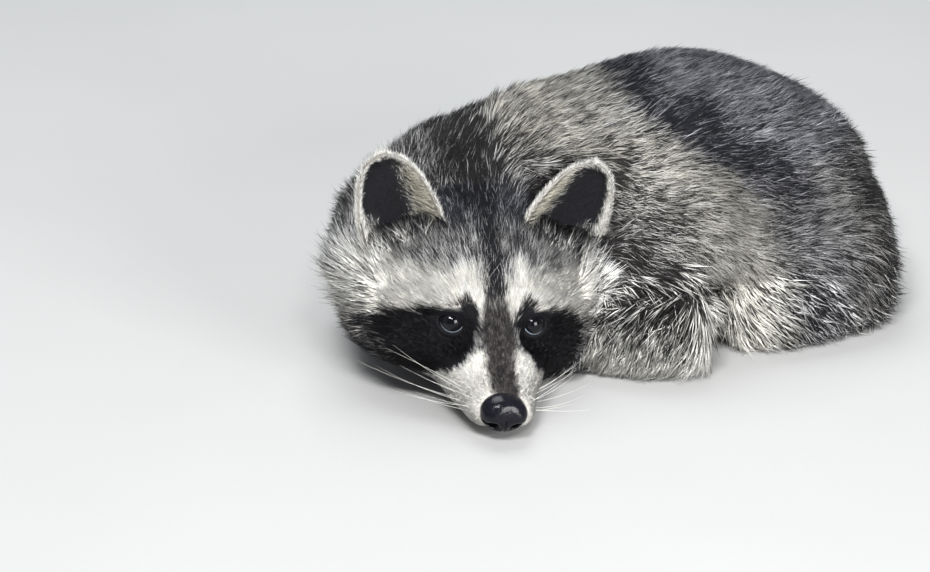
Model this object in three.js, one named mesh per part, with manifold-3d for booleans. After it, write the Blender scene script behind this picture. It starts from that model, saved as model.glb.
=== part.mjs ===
// Raccoon, life size, lying with its chin on the ground between tucked forelegs.
// Millimetres, +Z up. The animal looks along -Y, and its rump is at +X and +Y.
// Every surface is the outline of the coat, out to the tips of the hair.

import * as THREE from "three";
import Module from "manifold-3d";
import { LoftGeometry } from "three/addons/geometries/LoftGeometry.js";
import { mergeVertices } from "three/addons/utils/BufferGeometryUtils.js";

const wasm = await Module();
wasm.setup();

const { degToRad, clamp } = THREE.MathUtils;

// ---- driving dimensions -------------------------------------------------

const GAP = 0.5; // clearance between neighbouring solids
const CLAW_CLEARANCE = 2; // room kept free beyond the claws' tips
const END_SHARE = 0.12; // the least size of a domed end, as a share of its ring
const REACH = 600; // further than the animal in any direction

// Head: its origin lies midway between the pupils; x is the animal's left,
// y points back to the nape and z up to the crown.
const HEAD_HEIGHT = 45;
const HEAD_YAW = degToRad(13.5);
const HEAD_PITCH = degToRad(11.8);
const HEAD_ROLL = degToRad(9.1);

const EYE_RADIUS = 8.4;
const EYE_ACROSS = 22;
const EYE_BACK = 4;
const SOCKET_RADII = [10, 7.5, 8];
const SOCKET_OUT = 1;
const SOCKET_FRONT = -7;

const NOSE_BACK = -50;
const NOSE_DROP = -20.6;
const NOSE_WIDE = 12.8;
const NOSE_HIGH = 10.4;
const NOSE_DEEP = 7.5;
const NOSTRIL_RADII = [2.4, 3.2, 2.1];

const EAR_ACROSS = 42;
const EAR_BACK = 50;
const EAR_RISE = 20;
const EAR_LENGTH = 54;
const EAR_HALF_WIDTH = 22;
const EAR_CUP = 15;
const EAR_WALL = 4.2;
const EAR_CLEARANCE = 0.8;
const EAR_LEVELS = 7;
const EAR_STEPS = 7;
const EAR_SPLAY = degToRad(15);
const EAR_LEAN_BACK = degToRad(14);
const EAR_TURN_OUT = degToRad(-3);
const EAR_TIP_HALF = 3; // half width that is left at the rounded tip
const EAR_TIP_LEAN = 6; // how far the tip leans outwards
const EAR_ROOT_DROP = 0.4; // share of the cup that lies in front of the ear's axis

const FINGER_LENGTH = 30;
const CLAW_LENGTH = 10;
const CLAW_RADIUS = 2;

const MOUTH_DROP = -34;
const MOUTH_SLOPE = degToRad(-4);

// Where the middle of the finished animal lies, seen from above, in the head's axes.
const MIDDLE_ACROSS = 67.83;
const MIDDLE_BACK = 136.62;

const Z_AXIS = new THREE.Vector3(0, 0, 1);
const Y_AXIS = new THREE.Vector3(0, 1, 0);

// ---- solids ---------------------------------------------------------------

/** A manifold solid of a closed geometry, its shared vertices merged. */
function solid(geometry) {
  const bare = new THREE.BufferGeometry();
  bare.setAttribute("position", geometry.getAttribute("position"));
  bare.setIndex(geometry.getIndex());
  const merged = mergeVertices(bare, 1e-4);
  const corners = merged.index.array;
  const kept = [];
  for (let i = 0; i < corners.length; i += 3) {
    const [a, b, c] = corners.slice(i, i + 3);
    if (a !== b && b !== c && c !== a) kept.push(a, b, c);
  }
  return new wasm.Manifold(new wasm.Mesh({
    numProp: 3,
    vertProperties: Float32Array.from(merged.attributes.position.array),
    triVerts: Uint32Array.from(kept),
  }));
}

/** The geometry of a manifold solid. */
function geometryOf(body) {
  const { numProp, vertProperties, triVerts } = body.getMesh();
  const points = [];
  for (let i = 0; i < vertProperties.length; i += numProp) {
    points.push(...vertProperties.subarray(i, i + 3));
  }
  const geometry = new THREE.BufferGeometry();
  geometry.setAttribute("position", new THREE.Float32BufferAttribute(points, 3));
  geometry.setIndex([...triVerts]);
  geometry.computeVertexNormals();
  return geometry;
}

/** The largest body of a solid, without the slivers that a cut leaves. */
function largest(body) {
  return body.decompose().sort((a, b) => b.volume() - a.volume())[0];
}

/** Value of a smooth curve through the rows at t from 0 to 1, column by column. */
function along(rows, t) {
  const last = rows.length - 1;
  const place = Math.min(t * last, last - 1e-6);
  const i = Math.floor(place);
  const w = place - i;
  const row = (k) => rows[clamp(i + k, 0, last)];
  const [a, b, c, d] = [row(-1), row(0), row(1), row(2)];
  return b.map((_, j) => {
    const slope = c[j] - a[j];
    const bend = 2 * a[j] - 5 * b[j] + 4 * c[j] - d[j];
    const twist = 3 * b[j] - a[j] - 3 * c[j] + d[j];
    return b[j] + (slope * w + bend * w ** 2 + twist * w ** 3) / 2;
  });
}

/**
 * A fleshy body: rounded rings along a smooth spine, domed at both ends.
 * Each row of `stations` is x, y, z of the spine, then the ring's half width,
 * its height over the spine and its depth under it. `span` takes only a length
 * of the spine, cut square where it doesn't reach an end, and `grow` swells it.
 */
function flesh(stations, { rings = 8, sides = 12, power = 2.2, underPower = power,
  up = Z_AXIS, dome = [0.12, 0.12], span = [0, 1], grow = 0 } = {}) {
  const sections = [];
  for (let i = 0; i <= rings; i++) {
    const even = i / rings;
    const eased = (1 - Math.cos(Math.PI * even)) / 2;
    const t = span[0] + (span[1] - span[0]) * (even + eased) / 2;
    const [x, y, z, wide, high, low] = along(stations, t);
    const ahead = along(stations, Math.min(t + 0.01, 1));
    const behind = along(stations, Math.max(t - 0.01, 0));
    const tangent = new THREE.Vector3(
      ahead[0] - behind[0], ahead[1] - behind[1], ahead[2] - behind[2]).normalize();
    const side = new THREE.Vector3().crossVectors(tangent, up).normalize();
    const rise = new THREE.Vector3().crossVectors(side, tangent);
    const near = dome[0] ? clamp(t / dome[0], 0, 1) : 1;
    const far = dome[1] ? clamp((1 - t) / dome[1], 0, 1) : 1;
    const round = Math.max(END_SHARE, Math.sqrt(1 - (1 - near) ** 2) * Math.sqrt(1 - (1 - far) ** 2));
    const centre = new THREE.Vector3(x, y, z);
    if (i === 0) centre.addScaledVector(tangent, (span[0] > 0 ? GAP / 2 : 0) - grow);
    if (i === rings) centre.addScaledVector(tangent, grow - (span[1] < 1 ? GAP / 2 : 0));
    const ring = [];
    for (let j = 0; j < sides; j++) {
      const angle = (-2 * Math.PI * (j + 0.5)) / sides;
      const c = Math.cos(angle);
      const s = Math.sin(angle);
      const square = 2 / (s > 0 ? power : underPower);
      const reach = s > 0 ? high : low;
      const acrossRing = Math.sign(c) * Math.abs(c) ** square * (wide * round + grow);
      const upRing = Math.sign(s) * Math.abs(s) ** square * (reach * round + grow);
      ring.push(centre.clone().addScaledVector(side, acrossRing).addScaledVector(rise, upRing));
    }
    sections.push(ring);
  }
  return solid(new LoftGeometry(sections, { capStart: true, capEnd: true }));
}

/** A ball of any three radii, turned by a matrix. */
function ball(centre, radii, slices = 16, matrix = new THREE.Matrix4()) {
  const geometry = new THREE.SphereGeometry(1, slices, Math.round(slices * 0.6));
  geometry.scale(...radii).translate(...centre).applyMatrix4(matrix);
  return solid(geometry);
}

/** A box between two corners, turned by a matrix. */
function block(low, high, matrix = new THREE.Matrix4()) {
  const size = high.map((value, i) => value - low[i]);
  const geometry = new THREE.BoxGeometry(...size);
  geometry.translate(...low.map((value, i) => value + size[i] / 2)).applyMatrix4(matrix);
  return solid(geometry);
}

/** The solid moved by a matrix. */
function moved(body, matrix) {
  return body.transform(matrix.elements);
}

// ---- head -------------------------------------------------------------------

const HEAD = new THREE.Matrix4().compose(
  new THREE.Vector3(0, 0, HEAD_HEIGHT),
  new THREE.Quaternion().setFromEuler(
    new THREE.Euler(HEAD_PITCH, HEAD_ROLL, HEAD_YAW, "ZXY")),
  new THREE.Vector3(1, 1, 1));

/** Skull with brow, cheeks and the ruff that widens behind them. */
function craniumForm(grow) {
  return moved(flesh([
    [0, -6, -8, 27, 20, 24],
    [0, 8, -10, 48, 32, 34],
    [0, 24, -9, 71, 42, 36],
    [0, 42, -6, 84, 46, 32],
    [0, 62, -3, 83, 46, 28],
    [0, 84, 0, 62, 38, 22],
  ], { rings: 9, sides: 17, power: 2.1, dome: [0.1, 0.14], grow }), HEAD);
}

/** Muzzle and jaw, from the front of the lips back into the face. */
function muzzleForm(grow) {
  return moved(flesh([
    [-1.9, -50, -21.6, 11.6, 11, 9.6],
    [-0.8, -40, -23, 19.5, 14.5, 13],
    [-0.3, -26, -23, 26.5, 19.5, 17],
    [0, -10, -20, 33, 26, 21],
    [0, 8, -16, 41, 31, 25],
  ], { rings: 7, sides: 14, power: 2.2, dome: [0.07, 0.1], grow }), HEAD);
}

/** The bare nose pad, broad above and notched by a nostril on each side. */
function noseForm(grow) {
  const pad = flesh([
    [0, NOSE_BACK - NOSE_DEEP, NOSE_DROP - 1, NOSE_WIDE * 0.66, NOSE_HIGH * 0.62, NOSE_HIGH * 0.7],
    [0, NOSE_BACK - NOSE_DEEP / 3, NOSE_DROP, NOSE_WIDE, NOSE_HIGH * 0.9, NOSE_HIGH],
    [0, NOSE_BACK + NOSE_DEEP / 2, NOSE_DROP, NOSE_WIDE * 0.96, NOSE_HIGH, NOSE_HIGH * 0.9],
  ], { rings: 5, sides: 12, power: 2.3, dome: [0.3, 0.1], grow });
  if (grow > 0) return moved(pad, HEAD);
  const nostrils = [-1, 1].map((side) => ball(
    [side * NOSE_WIDE * 0.62, NOSE_BACK - NOSE_DEEP, NOSE_DROP - 1.5], NOSTRIL_RADII, 8));
  return moved(pad.subtract(nostrils[0]).subtract(nostrils[1]), HEAD);
}

/** The eyeball, set back so that the lids close round its front. */
function eyeForm(side, grow) {
  const radius = EYE_RADIUS + grow;
  return ball([side * EYE_ACROSS, EYE_BACK, 0], [radius, radius, radius], 12, HEAD);
}

/** The shallow hollow that the eye looks out of. */
function socket(side) {
  return ball([side * (EYE_ACROSS + SOCKET_OUT), SOCKET_FRONT, 0], SOCKET_RADII, 10, HEAD);
}

/** The ear's own frame: z up its length, -y out of its hollow. */
function earFrame(side) {
  const turn = new THREE.Euler(-EAR_LEAN_BACK, side * EAR_SPLAY, side * EAR_TURN_OUT, "YXZ");
  return new THREE.Matrix4().compose(
    new THREE.Vector3(side * EAR_ACROSS, EAR_BACK, EAR_RISE),
    new THREE.Quaternion().setFromEuler(turn),
    new THREE.Vector3(1, 1, 1)).premultiply(HEAD);
}

/** Half width, depth of cup, wall and sideways lean of the ear at t up its length. */
function earSection(side, t) {
  return {
    half: EAR_HALF_WIDTH * Math.sqrt(1 - t ** 2.6) * (1 - 0.1 * t) + EAR_TIP_HALF,
    cup: EAR_CUP * (1 - 0.7 * t),
    wall: EAR_WALL * (1 - 0.4 * t),
    lean: side * EAR_TIP_LEAN * t,
  };
}

/** An arc across the ear, from its outer to its inner edge. */
function earArc(half, cup, drop, lean, height) {
  return Array.from({ length: EAR_STEPS + 1 }, (_, j) => {
    const angle = Math.PI * (j / EAR_STEPS);
    return new THREE.Vector3(lean + half * Math.cos(angle), cup * Math.sin(angle) - drop, height);
  });
}

/** The pinna: crescent slices up a rounded, forward facing cup. */
function earForm(side) {
  const sections = [];
  for (let i = 0; i <= EAR_LEVELS; i++) {
    const t = i / EAR_LEVELS;
    const { half, cup, wall, lean } = earSection(side, t);
    const height = EAR_LENGTH * t;
    const drop = cup * EAR_ROOT_DROP;
    const outer = earArc(half, cup, drop, lean, height);
    const inner = earArc(half - wall * 0.6, cup - wall, drop, lean, height);
    sections.push([...outer, ...inner.slice(1, -1).reverse()]);
  }
  const made = solid(new LoftGeometry(sections, { capStart: true, capEnd: true }));
  return moved(made, earFrame(side));
}

/** The room that the ear and its hollow take up. */
function earRoom(side) {
  const sections = [];
  for (let i = 0; i <= EAR_LEVELS; i++) {
    const t = i / EAR_LEVELS;
    const { half, cup, lean } = earSection(side, t);
    const height = EAR_LENGTH * t + (i ? EAR_CLEARANCE : -EAR_CLEARANCE);
    const drop = cup * EAR_ROOT_DROP;
    const arc = earArc(half + EAR_CLEARANCE, cup + EAR_CLEARANCE, drop, lean, height);
    const front = [arc[EAR_STEPS], arc[0]].map((corner) =>
      corner.clone().setY(-drop - EAR_CLEARANCE));
    sections.push([...arc, ...front]);
  }
  const made = solid(new LoftGeometry(sections, { capStart: true, capEnd: true }));
  return moved(made, earFrame(side));
}

// ---- neck, trunk and tail -----------------------------------------------------

/** Neck and nape, from behind the ruff into the shoulders. */
function neckForm(grow) {
  return flesh([
    [-13, 46, 50, 63, 36, 32],
    [-16, 70, 56, 73, 43, 46],
    [-13, 94, 60, 75, 50, 58],
    [14, 118, 60, 68, 70, 63],
  ], { rings: 6, sides: 14, dome: [0.12, 0.1], grow });
}

// Rows from the shoulders to the rump, bent sideways as the animal lies.
const TRUNK = [
  [-14, 120, 46, 62, 68, 49],
  [16, 122, 46, 80, 81, 49],
  [58, 131, 46, 85, 89, 49],
  [96, 145, 46, 89, 94, 49],
  [127, 162, 46, 88, 91, 49],
  [153, 183, 44, 78, 76, 47],
  [171, 205, 40, 61, 56, 43],
  [181, 223, 34, 40, 34, 36],
];
const TRUNK_RINGS = 16;
const TRUNK_LENGTHS = { chest: [0, 0.4], belly: [0.4, 0.66], rump: [0.66, 1] };

// Rows from the root of the tail to its tip, curled round behind the animal.
const TAIL = [
  [162, 222, 38, 27, 25, 30],
  [160, 256, 30, 29, 26, 32],
  [130, 286, 28, 30, 27, 30],
  [84, 298, 28, 30, 27, 30],
  [36, 290, 27, 28, 25, 29],
  [-4, 272, 22, 19, 17, 24],
];
const TAIL_LENGTHS = { tail_root: [0, 0.3], tail_fore: [0.3, 0.54], tail_aft: [0.54, 0.78],
  tail_tip: [0.78, 1] };

/** One length of the trunk, flattened below where it lies on the ground. */
function trunkForm(span, grow) {
  const rings = Math.round(TRUNK_RINGS * (span[1] - span[0]));
  return flesh(TRUNK, { rings, sides: 18, underPower: 3.6, dome: [0.1, 0.08], span, grow });
}

/** One length of the tail. */
function tailForm(span) {
  return flesh(TAIL, { rings: 4, sides: 12, dome: [0.04, 0.14], span });
}

// ---- legs -----------------------------------------------------------------------

// Rows from the body outwards; `up` is the direction of the last two columns.
const LIMBS = {
  forearm_left: { up: Z_AXIS, rows: [
    [112, 54, 25, 29, 38, 28], [84, 45, 22, 26, 33, 24], [50, 40, 14, 15, 14, 16]] },
  forearm_right: { up: Z_AXIS, rows: [
    [-44, 182, 23, 22, 20, 25], [-50, 154, 18, 18, 15, 20], [-54, 124, 13, 12, 10, 15]] },
  upper_arm_left: { up: Y_AXIS, rows: [
    [84, 110, 76, 36, 34, 34], [96, 84, 54, 42, 42, 40], [104, 67, 30, 38, 36, 36]] },
  upper_arm_right: { up: Y_AXIS, rows: [
    [-18, 138, 74, 32, 34, 30], [-32, 162, 52, 32, 32, 28], [-40, 182, 30, 26, 26, 25]] },
  thigh_left: { up: Z_AXIS, rows: [
    [182, 150, 44, 39, 42, 42], [192, 106, 30, 35, 42, 33], [122, 78, 25, 33, 40, 28]] },
  thigh_right: { up: Z_AXIS, rows: [
    [100, 190, 48, 42, 42, 50], [80, 212, 36, 42, 36, 39], [56, 206, 27, 33, 26, 30]] },
};

/** A muscled length of leg. */
function limbForm(name, grow) {
  const { up, rows } = LIMBS[name];
  return flesh(rows, { rings: 6, sides: 11, up, underPower: 3.2, dome: [0.22, 0.2], grow });
}

// Each paw has its own frame: the wrist or heel at the origin, y towards the toes.
const PAWS = {
  forepaw_left: { at: [52, 40], towards: [-20, 28], length: 64, wide: 15, high: 13,
    digit: FINGER_LENGTH, thick: 4.2, spread: 9 },
  forepaw_right: { at: [-54, 126], towards: [-48, 56], length: 64, wide: 15, high: 13,
    digit: FINGER_LENGTH, thick: 4.2, spread: 9 },
  hindpaw_left: { at: [222, 176], towards: [180, 92], length: 94, wide: 17, high: 19,
    digit: 26, thick: 4.8, spread: 10 },
  hindpaw_right: { at: [118, 226], towards: [28, 236], length: 94, wide: 17, high: 19,
    digit: 26, thick: 4.8, spread: 10 },
};

/** Turns a paw's own frame to where it lies on the ground. */
function pawFrame({ at, towards }) {
  const heading = Math.atan2(towards[1] - at[1], towards[0] - at[0]) - Math.PI / 2;
  return new THREE.Matrix4().makeRotationZ(heading).setPosition(at[0], at[1], 0);
}

/** Where a digit starts, its heading and its length; the middle ones reach furthest. */
function digitLine({ length, digit, spread, wide }, index) {
  const place = (index - 2) / 2;
  const reach = digit * (1 - 0.22 * place ** 2);
  const start = [place * wide * 0.78, length - digit - 4 * place ** 2];
  const heading = degToRad(spread * 2 * place);
  const end = [start[0] + reach * Math.sin(heading), start[1] + reach * Math.cos(heading)];
  return { start, end };
}

/** Palm or sole with its five digits, flat underneath. */
function pawForm(name) {
  const paw = PAWS[name];
  const { length, wide, high, digit, thick } = paw;
  const back = length - digit;
  let body = flesh([
    [0, -6, high * 0.55, wide * 0.62, high * 0.5, high * 0.62],
    [0, back * 0.45, high * 0.45, wide * 0.85, high * 0.48, high * 0.52],
    [0, back + 4, high * 0.34, wide, high * 0.36, high * 0.42],
  ], { rings: 4, sides: 9, dome: [0.1, 0.22] });
  for (let i = 0; i < 5; i++) {
    const { start, end } = digitLine(paw, i);
    const middle = start.map((value, j) => (value + end[j]) / 2);
    body = body.add(flesh([
      [start[0], start[1] - 6, thick, thick, thick, thick],
      [...middle, thick * 1.25, thick * 0.95, thick, thick * 1.3],
      [...end, thick * 0.75, thick * 0.8, thick * 0.8, thick * 0.9],
    ], { rings: 3, sides: 5, dome: [0.05, 0.2] }));
  }
  return moved(body, pawFrame(paw));
}

/** The plain room that a paw with its claws takes up. */
function pawRoom(name) {
  const paw = PAWS[name];
  const { length, wide, high, thick } = paw;
  return moved(flesh([
    [0, -9, high * 0.5, wide * 0.8, high * 0.62, high * 0.6],
    [0, length * 0.4, high * 0.5, wide * 1.1, high * 0.62, high * 0.6],
    [0, length * 0.75, high * 0.4, wide * 1.75, high * 0.6, high * 0.5],
    [0, length + CLAW_LENGTH + CLAW_CLEARANCE, thick, wide * 1.7, thick + 3, thick + 2],
  ], { rings: 3, sides: 8, power: 3, dome: [0, 0] }), pawFrame(paw));
}

/** A curved claw that grows on from the end of a digit. */
function clawForm(name, index) {
  const paw = PAWS[name];
  const { start, end } = digitLine(paw, index);
  const run = new THREE.Vector2(end[0] - start[0], end[1] - start[1]).normalize();
  const point = (reach, height, radius) => [
    end[0] + run.x * reach, end[1] + run.y * reach, height, radius * 0.7, radius, radius];
  return moved(flesh([
    point(GAP, paw.thick, CLAW_RADIUS),
    point(CLAW_LENGTH * 0.5, paw.thick * 1.05, CLAW_RADIUS * 0.85),
    point(CLAW_LENGTH, paw.thick * 0.35, CLAW_RADIUS * 0.35),
  ], { rings: 2, sides: 5, dome: [0, 0] }), pawFrame(paw));
}

// ---- assembly -------------------------------------------------------------------

const COLOURS = {
  fur_light: { color: 0xc9c4b8, roughness: 0.9 },
  fur_grey: { color: 0x77736c, roughness: 0.9 },
  fur_dark: { color: 0x2d2c2e, roughness: 0.9 },
  skin_dark: { color: 0x242226, roughness: 0.6 },
  nose_leather: { color: 0x0d0d12, roughness: 0.25 },
  eye: { color: 0x08090c, roughness: 0.05 },
  claw: { color: 0x3a3431, roughness: 0.4 },
};

/** Everything above the ground, which flattens what rests on it. */
const ground = block([-REACH, -REACH, 0], [REACH, REACH, REACH]);

/** Upper muzzle or lower jaw: the muzzle on one side of the line of the mouth. */
function mouthPart(isJaw) {
  const heights = isJaw ? [-80, MOUTH_DROP - GAP] : [MOUTH_DROP, 80];
  const tilt = new THREE.Matrix4().makeRotationX(MOUTH_SLOPE).premultiply(HEAD);
  return muzzleForm(0).intersect(block([-90, -90, heights[0]], [90, 60, heights[1]], tilt));
}

/**
 * In order of rank: name, colour, the solid, the room it takes from those after it,
 * and the family whose members don't cut each other.
 */
const ranked = [
  ["eye_left", "eye", eyeForm(1, 0), eyeForm(1, GAP)],
  ["eye_right", "eye", eyeForm(-1, 0), eyeForm(-1, GAP)],
  ["nose", "nose_leather", noseForm(0), noseForm(GAP)],
  ["ear_left", "fur_light", earForm(1), earRoom(1)],
  ["ear_right", "fur_light", earForm(-1), earRoom(-1)],
];
for (const name of Object.keys(PAWS)) {
  for (let i = 0; i < 5; i++) {
    ranked.push([`${name}_claw_${i + 1}`, "claw", clawForm(name, i), null]);
  }
  ranked.push([name, "skin_dark", pawForm(name), pawRoom(name)]);
}
ranked.push(["head", "fur_grey", craniumForm(0), craniumForm(GAP)]);
ranked.push(["muzzle", "fur_light", mouthPart(false), null, "mouth"]);
ranked.push(["jaw", "fur_light", mouthPart(true), muzzleForm(GAP), "mouth"]);
for (const [name, span] of Object.entries(TRUNK_LENGTHS)) {
  ranked.push([name, "fur_grey", trunkForm(span, 0), trunkForm(span, GAP), "trunk"]);
}
ranked.push(["neck", "fur_grey", neckForm(0), neckForm(GAP)]);
for (const name of Object.keys(LIMBS)) {
  ranked.push([name, "fur_dark", limbForm(name, 0), limbForm(name, GAP)]);
}
for (const [name, span] of Object.entries(TAIL_LENGTHS)) {
  ranked.push([name, "fur_dark", tailForm(span), null, "tail"]);
}

/** Cuts each solid clear of those ranked before it and level with the ground. */
function assemble() {
  const group = new THREE.Group();
  group.position.set(-MIDDLE_ACROSS, -MIDDLE_BACK, 0);
  const rooms = [];
  for (const [name, colour, form, room, family = name] of ranked) {
    let body = form.intersect(ground);
    if (name === "head" || name === "muzzle") {
      body = body.subtract(socket(1)).subtract(socket(-1));
    }
    for (const taken of rooms) {
      if (taken.family !== family) body = body.subtract(taken.room);
    }
    if (room) rooms.push({ family, room });
    const mesh = new THREE.Mesh(geometryOf(largest(body)),
      new THREE.MeshStandardMaterial({ ...COLOURS[colour], metalness: 0 }));
    mesh.name = name;
    group.add(mesh);
  }
  return group;
}

export default assemble();
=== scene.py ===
"""A resting raccoon, life size: one skin, its coat of locks, eyes, nose, claws and whiskers.

Lengths in this file are millimetres in the head's axes, whose origin lies on the ground
under the point between the pupils, unless a name says otherwise. `to_frame` turns them into
metres in the model's frame. +X is the animal's left, +Y runs back to its rump, +Z is up.
"""

import logging
import math
from collections.abc import Callable
from dataclasses import dataclass, field
from enum import Enum, IntEnum

import bpy
import numpy as np
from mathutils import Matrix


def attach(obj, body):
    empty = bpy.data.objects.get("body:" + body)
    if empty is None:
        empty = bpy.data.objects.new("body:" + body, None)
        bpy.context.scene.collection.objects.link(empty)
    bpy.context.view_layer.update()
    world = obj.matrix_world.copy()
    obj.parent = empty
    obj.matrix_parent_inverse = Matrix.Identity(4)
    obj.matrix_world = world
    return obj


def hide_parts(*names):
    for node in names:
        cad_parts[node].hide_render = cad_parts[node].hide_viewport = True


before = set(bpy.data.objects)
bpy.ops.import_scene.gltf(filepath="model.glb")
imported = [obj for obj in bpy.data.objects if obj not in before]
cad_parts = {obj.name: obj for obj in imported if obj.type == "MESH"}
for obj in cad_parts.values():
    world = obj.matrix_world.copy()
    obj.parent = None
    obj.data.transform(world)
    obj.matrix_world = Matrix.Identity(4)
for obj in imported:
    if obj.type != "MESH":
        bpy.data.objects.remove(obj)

LOG = logging.getLogger("raccoon")

MILLIMETRE = 0.001
MIDDLE = np.array([67.83, 136.62, 0.0])  # the model's origin, in this file's axes
ROOT = "root"
COLOUR = "coat"  # the attribute that holds each vertex's colour
SEED = 20417
TINY = 1e-9

Array = np.ndarray
UPWARDS = np.array([0.0, 0.0, 1.0])


# ---- small numeric helpers -----------------------------------------------------------


def to_frame(points: Array) -> Array:
    """Turns this file's millimetres into the model's metres.

    Args:
        points: rows of x, y, z in millimetres.

    Returns:
        The same points in metres, in the model's frame.
    """
    return (points - MIDDLE) * MILLIMETRE


def unit(vectors: Array) -> Array:
    """Scales each row to length one."""
    return vectors / np.maximum(np.linalg.norm(vectors, axis=-1, keepdims=True), TINY)


def smooth(low: float, high: float, value: Array) -> Array:
    """Rises from 0 at `low` to 1 at `high` as 3t^2 - 2t^3."""
    t = np.clip((value - low) / (high - low), 0.0, 1.0)
    return t * t * (3.0 - 2.0 * t)


def bump(centre: float, width: float, value: Array) -> Array:
    """A bell of height one: exp(-((value - centre) / width)^2)."""
    return np.exp(-(((value - centre) / width) ** 2))


def mix(a: Array, b: Array, share: Array) -> Array:
    """Blends rows of `a` towards `b` by `share`, one share for each row."""
    return a + (b - a) * np.asarray(share)[..., None]


def smallest(a: Array, b: Array, blend: float) -> Array:
    """The smaller of two fields, rounded where they differ by less than `blend`."""
    near = np.maximum(blend - np.abs(a - b), 0.0) / blend
    return np.minimum(a, b) - near * near * blend * 0.25


HASH_PRIMES = (374761393, 668265263, 2147483647)
SALT_PRIME, STIR_PRIME = 974711, 1274126177
LOW_BITS = 0x7FFFFFFF


def hashed(cells: Array, salt: int) -> Array:
    """A repeatable number from 0 to 1 for each row of whole-number cells."""
    mixed = cells.astype(np.int64) @ np.array(HASH_PRIMES)
    mixed = (mixed + salt * SALT_PRIME) & LOW_BITS
    mixed = ((mixed ^ (mixed >> 13)) * STIR_PRIME) & LOW_BITS
    return ((mixed ^ (mixed >> 16)) & 0xFFFF) / 0xFFFF


def dot(a: Array, b: Array) -> Array:
    """The dot product of each row of `a` with the same row of `b`."""
    return np.einsum("ij,ij->i", a, b)


def egg(points: Array, radii: tuple[float, float, float]) -> Array:
    """A bell of height one round the origin, with its own width along each axis."""
    return np.exp(-(np.linalg.norm(points / np.array(radii), axis=1) ** 2))


def blend_corners(t: Array, value: Callable[[Array], Array]) -> Array:
    """Blends what stands at the eight corners of each point's cell.

    Args:
        t: each point's place in its cell, from 0 to 1 along each axis.
        value: the values at the corner with a given offset.

    Returns:
        One value for each point.
    """
    total = np.zeros(len(t))
    for corner in np.ndindex(2, 2, 2):
        offset = np.array(corner)
        total += np.prod(np.where(offset, t, 1.0 - t), axis=1) * value(offset)
    return total


def noise(points: Array, scale: float, salt: int) -> Array:
    """Smooth noise from -1 to 1: corner values of a lattice, blended by 3t^2 - 2t^3.

    Args:
        points: rows of x, y, z.
        scale: the lattice's spacing.
        salt: a number that picks the pattern.

    Returns:
        One value for each point.
    """
    place = points / scale
    cell = np.floor(place)
    t = place - cell
    t = t * t * (3.0 - 2.0 * t)
    return blend_corners(t, lambda offset: hashed(cell + offset, salt)) * 2.0 - 1.0


def noise_vector(points: Array, scale: float, salt: int) -> Array:
    """Three smooth noises side by side, as a vector for each point."""
    return np.stack([noise(points, scale, salt + k) for k in range(3)], axis=1)


def along(rows: Array, t: Array) -> Array:
    """Uniform Catmull-Rom curve through the rows, at t from 0 to 1, column by column.

    Args:
        rows: the values that the curve passes through.
        t: places along the curve.

    Returns:
        One row of values for each place.
    """
    last = len(rows) - 1
    place = np.minimum(np.asarray(t, float) * last, last - 1e-6)
    i = np.floor(place).astype(int)
    w = (place - i)[:, None]
    a, b, c, d = (rows[np.clip(i + k, 0, last)] for k in (-1, 0, 1, 2))
    slope = c - a
    bend = 2 * a - 5 * b + 4 * c - d
    twist = 3 * b - a - 3 * c + d
    return b + (slope * w + bend * w**2 + twist * w**3) / 2


def turn(axis: int, degrees: float) -> Array:
    """The matrix of a turn about one axis."""
    c, s = math.cos(math.radians(degrees)), math.sin(math.radians(degrees))
    matrix = np.eye(3)
    i, j = (axis + 1) % 3, (axis + 2) % 3
    matrix[i, i] = matrix[j, j] = c
    matrix[i, j], matrix[j, i] = -s, s
    return matrix


# ---- meshes --------------------------------------------------------------------------


def place_object(name: str, data: bpy.types.ID) -> bpy.types.Object:
    """Puts a mesh, a light or a camera in the scene."""
    made = bpy.data.objects.new(name, data)
    bpy.context.scene.collection.objects.link(made)
    return made


def make_piece(
    name: str,
    shape: tuple[Array, Array],
    colours: Array,
    material: bpy.types.Material,
    slot: str,
    replaced: tuple[str, ...] = (),
) -> bpy.types.Object:
    """Makes a smooth, coloured mesh object that rides on the animal's one body.

    Args:
        name: the piece's name.
        shape: its vertices in millimetres, and its faces of three or four corners.
        colours: the colour of each vertex.
        material: its finish.
        slot: not used.
        replaced: the CAD nodes it stands for.

    Returns:
        The object.
    """
    verts, faces = shape
    mesh = bpy.data.meshes.new(name)
    corners = faces.shape[1]
    mesh.vertices.add(len(verts))
    mesh.vertices.foreach_set("co", to_frame(verts).astype(np.float32).ravel())
    mesh.loops.add(faces.size)
    mesh.loops.foreach_set("vertex_index", faces.astype(np.int32).ravel())
    mesh.polygons.add(len(faces))
    mesh.polygons.foreach_set(
        "loop_start", np.arange(0, faces.size, corners, dtype=np.int32)
    )
    mesh.polygons.foreach_set("use_smooth", np.ones(len(faces), dtype=bool))
    mesh.update(calc_edges=True)
    mesh.materials.append(material)
    layer = mesh.color_attributes.new(COLOUR, "FLOAT_COLOR", "POINT")
    layer.data.foreach_set("color", np.insert(colours, 3, 1.0, axis=1).astype(np.float32).ravel())
    piece = place_object(name, mesh)
    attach(piece, ROOT)
    if replaced:
        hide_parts(*replaced)
    LOG.info("%s: %d faces", name, len(faces))
    return piece


def grid_faces(rows: int, columns: int, wrap: bool) -> Array:
    """Quads of a grid of points stored row by row; `wrap` joins the last column to the first."""
    across = columns if wrap else columns - 1
    i, j = np.meshgrid(np.arange(rows - 1), np.arange(across), indexing="ij")
    k = (j + 1) % columns
    quads = [i * columns + j, i * columns + k, (i + 1) * columns + k, (i + 1) * columns + j]
    return np.stack(quads, axis=-1).reshape(-1, 4)


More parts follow.
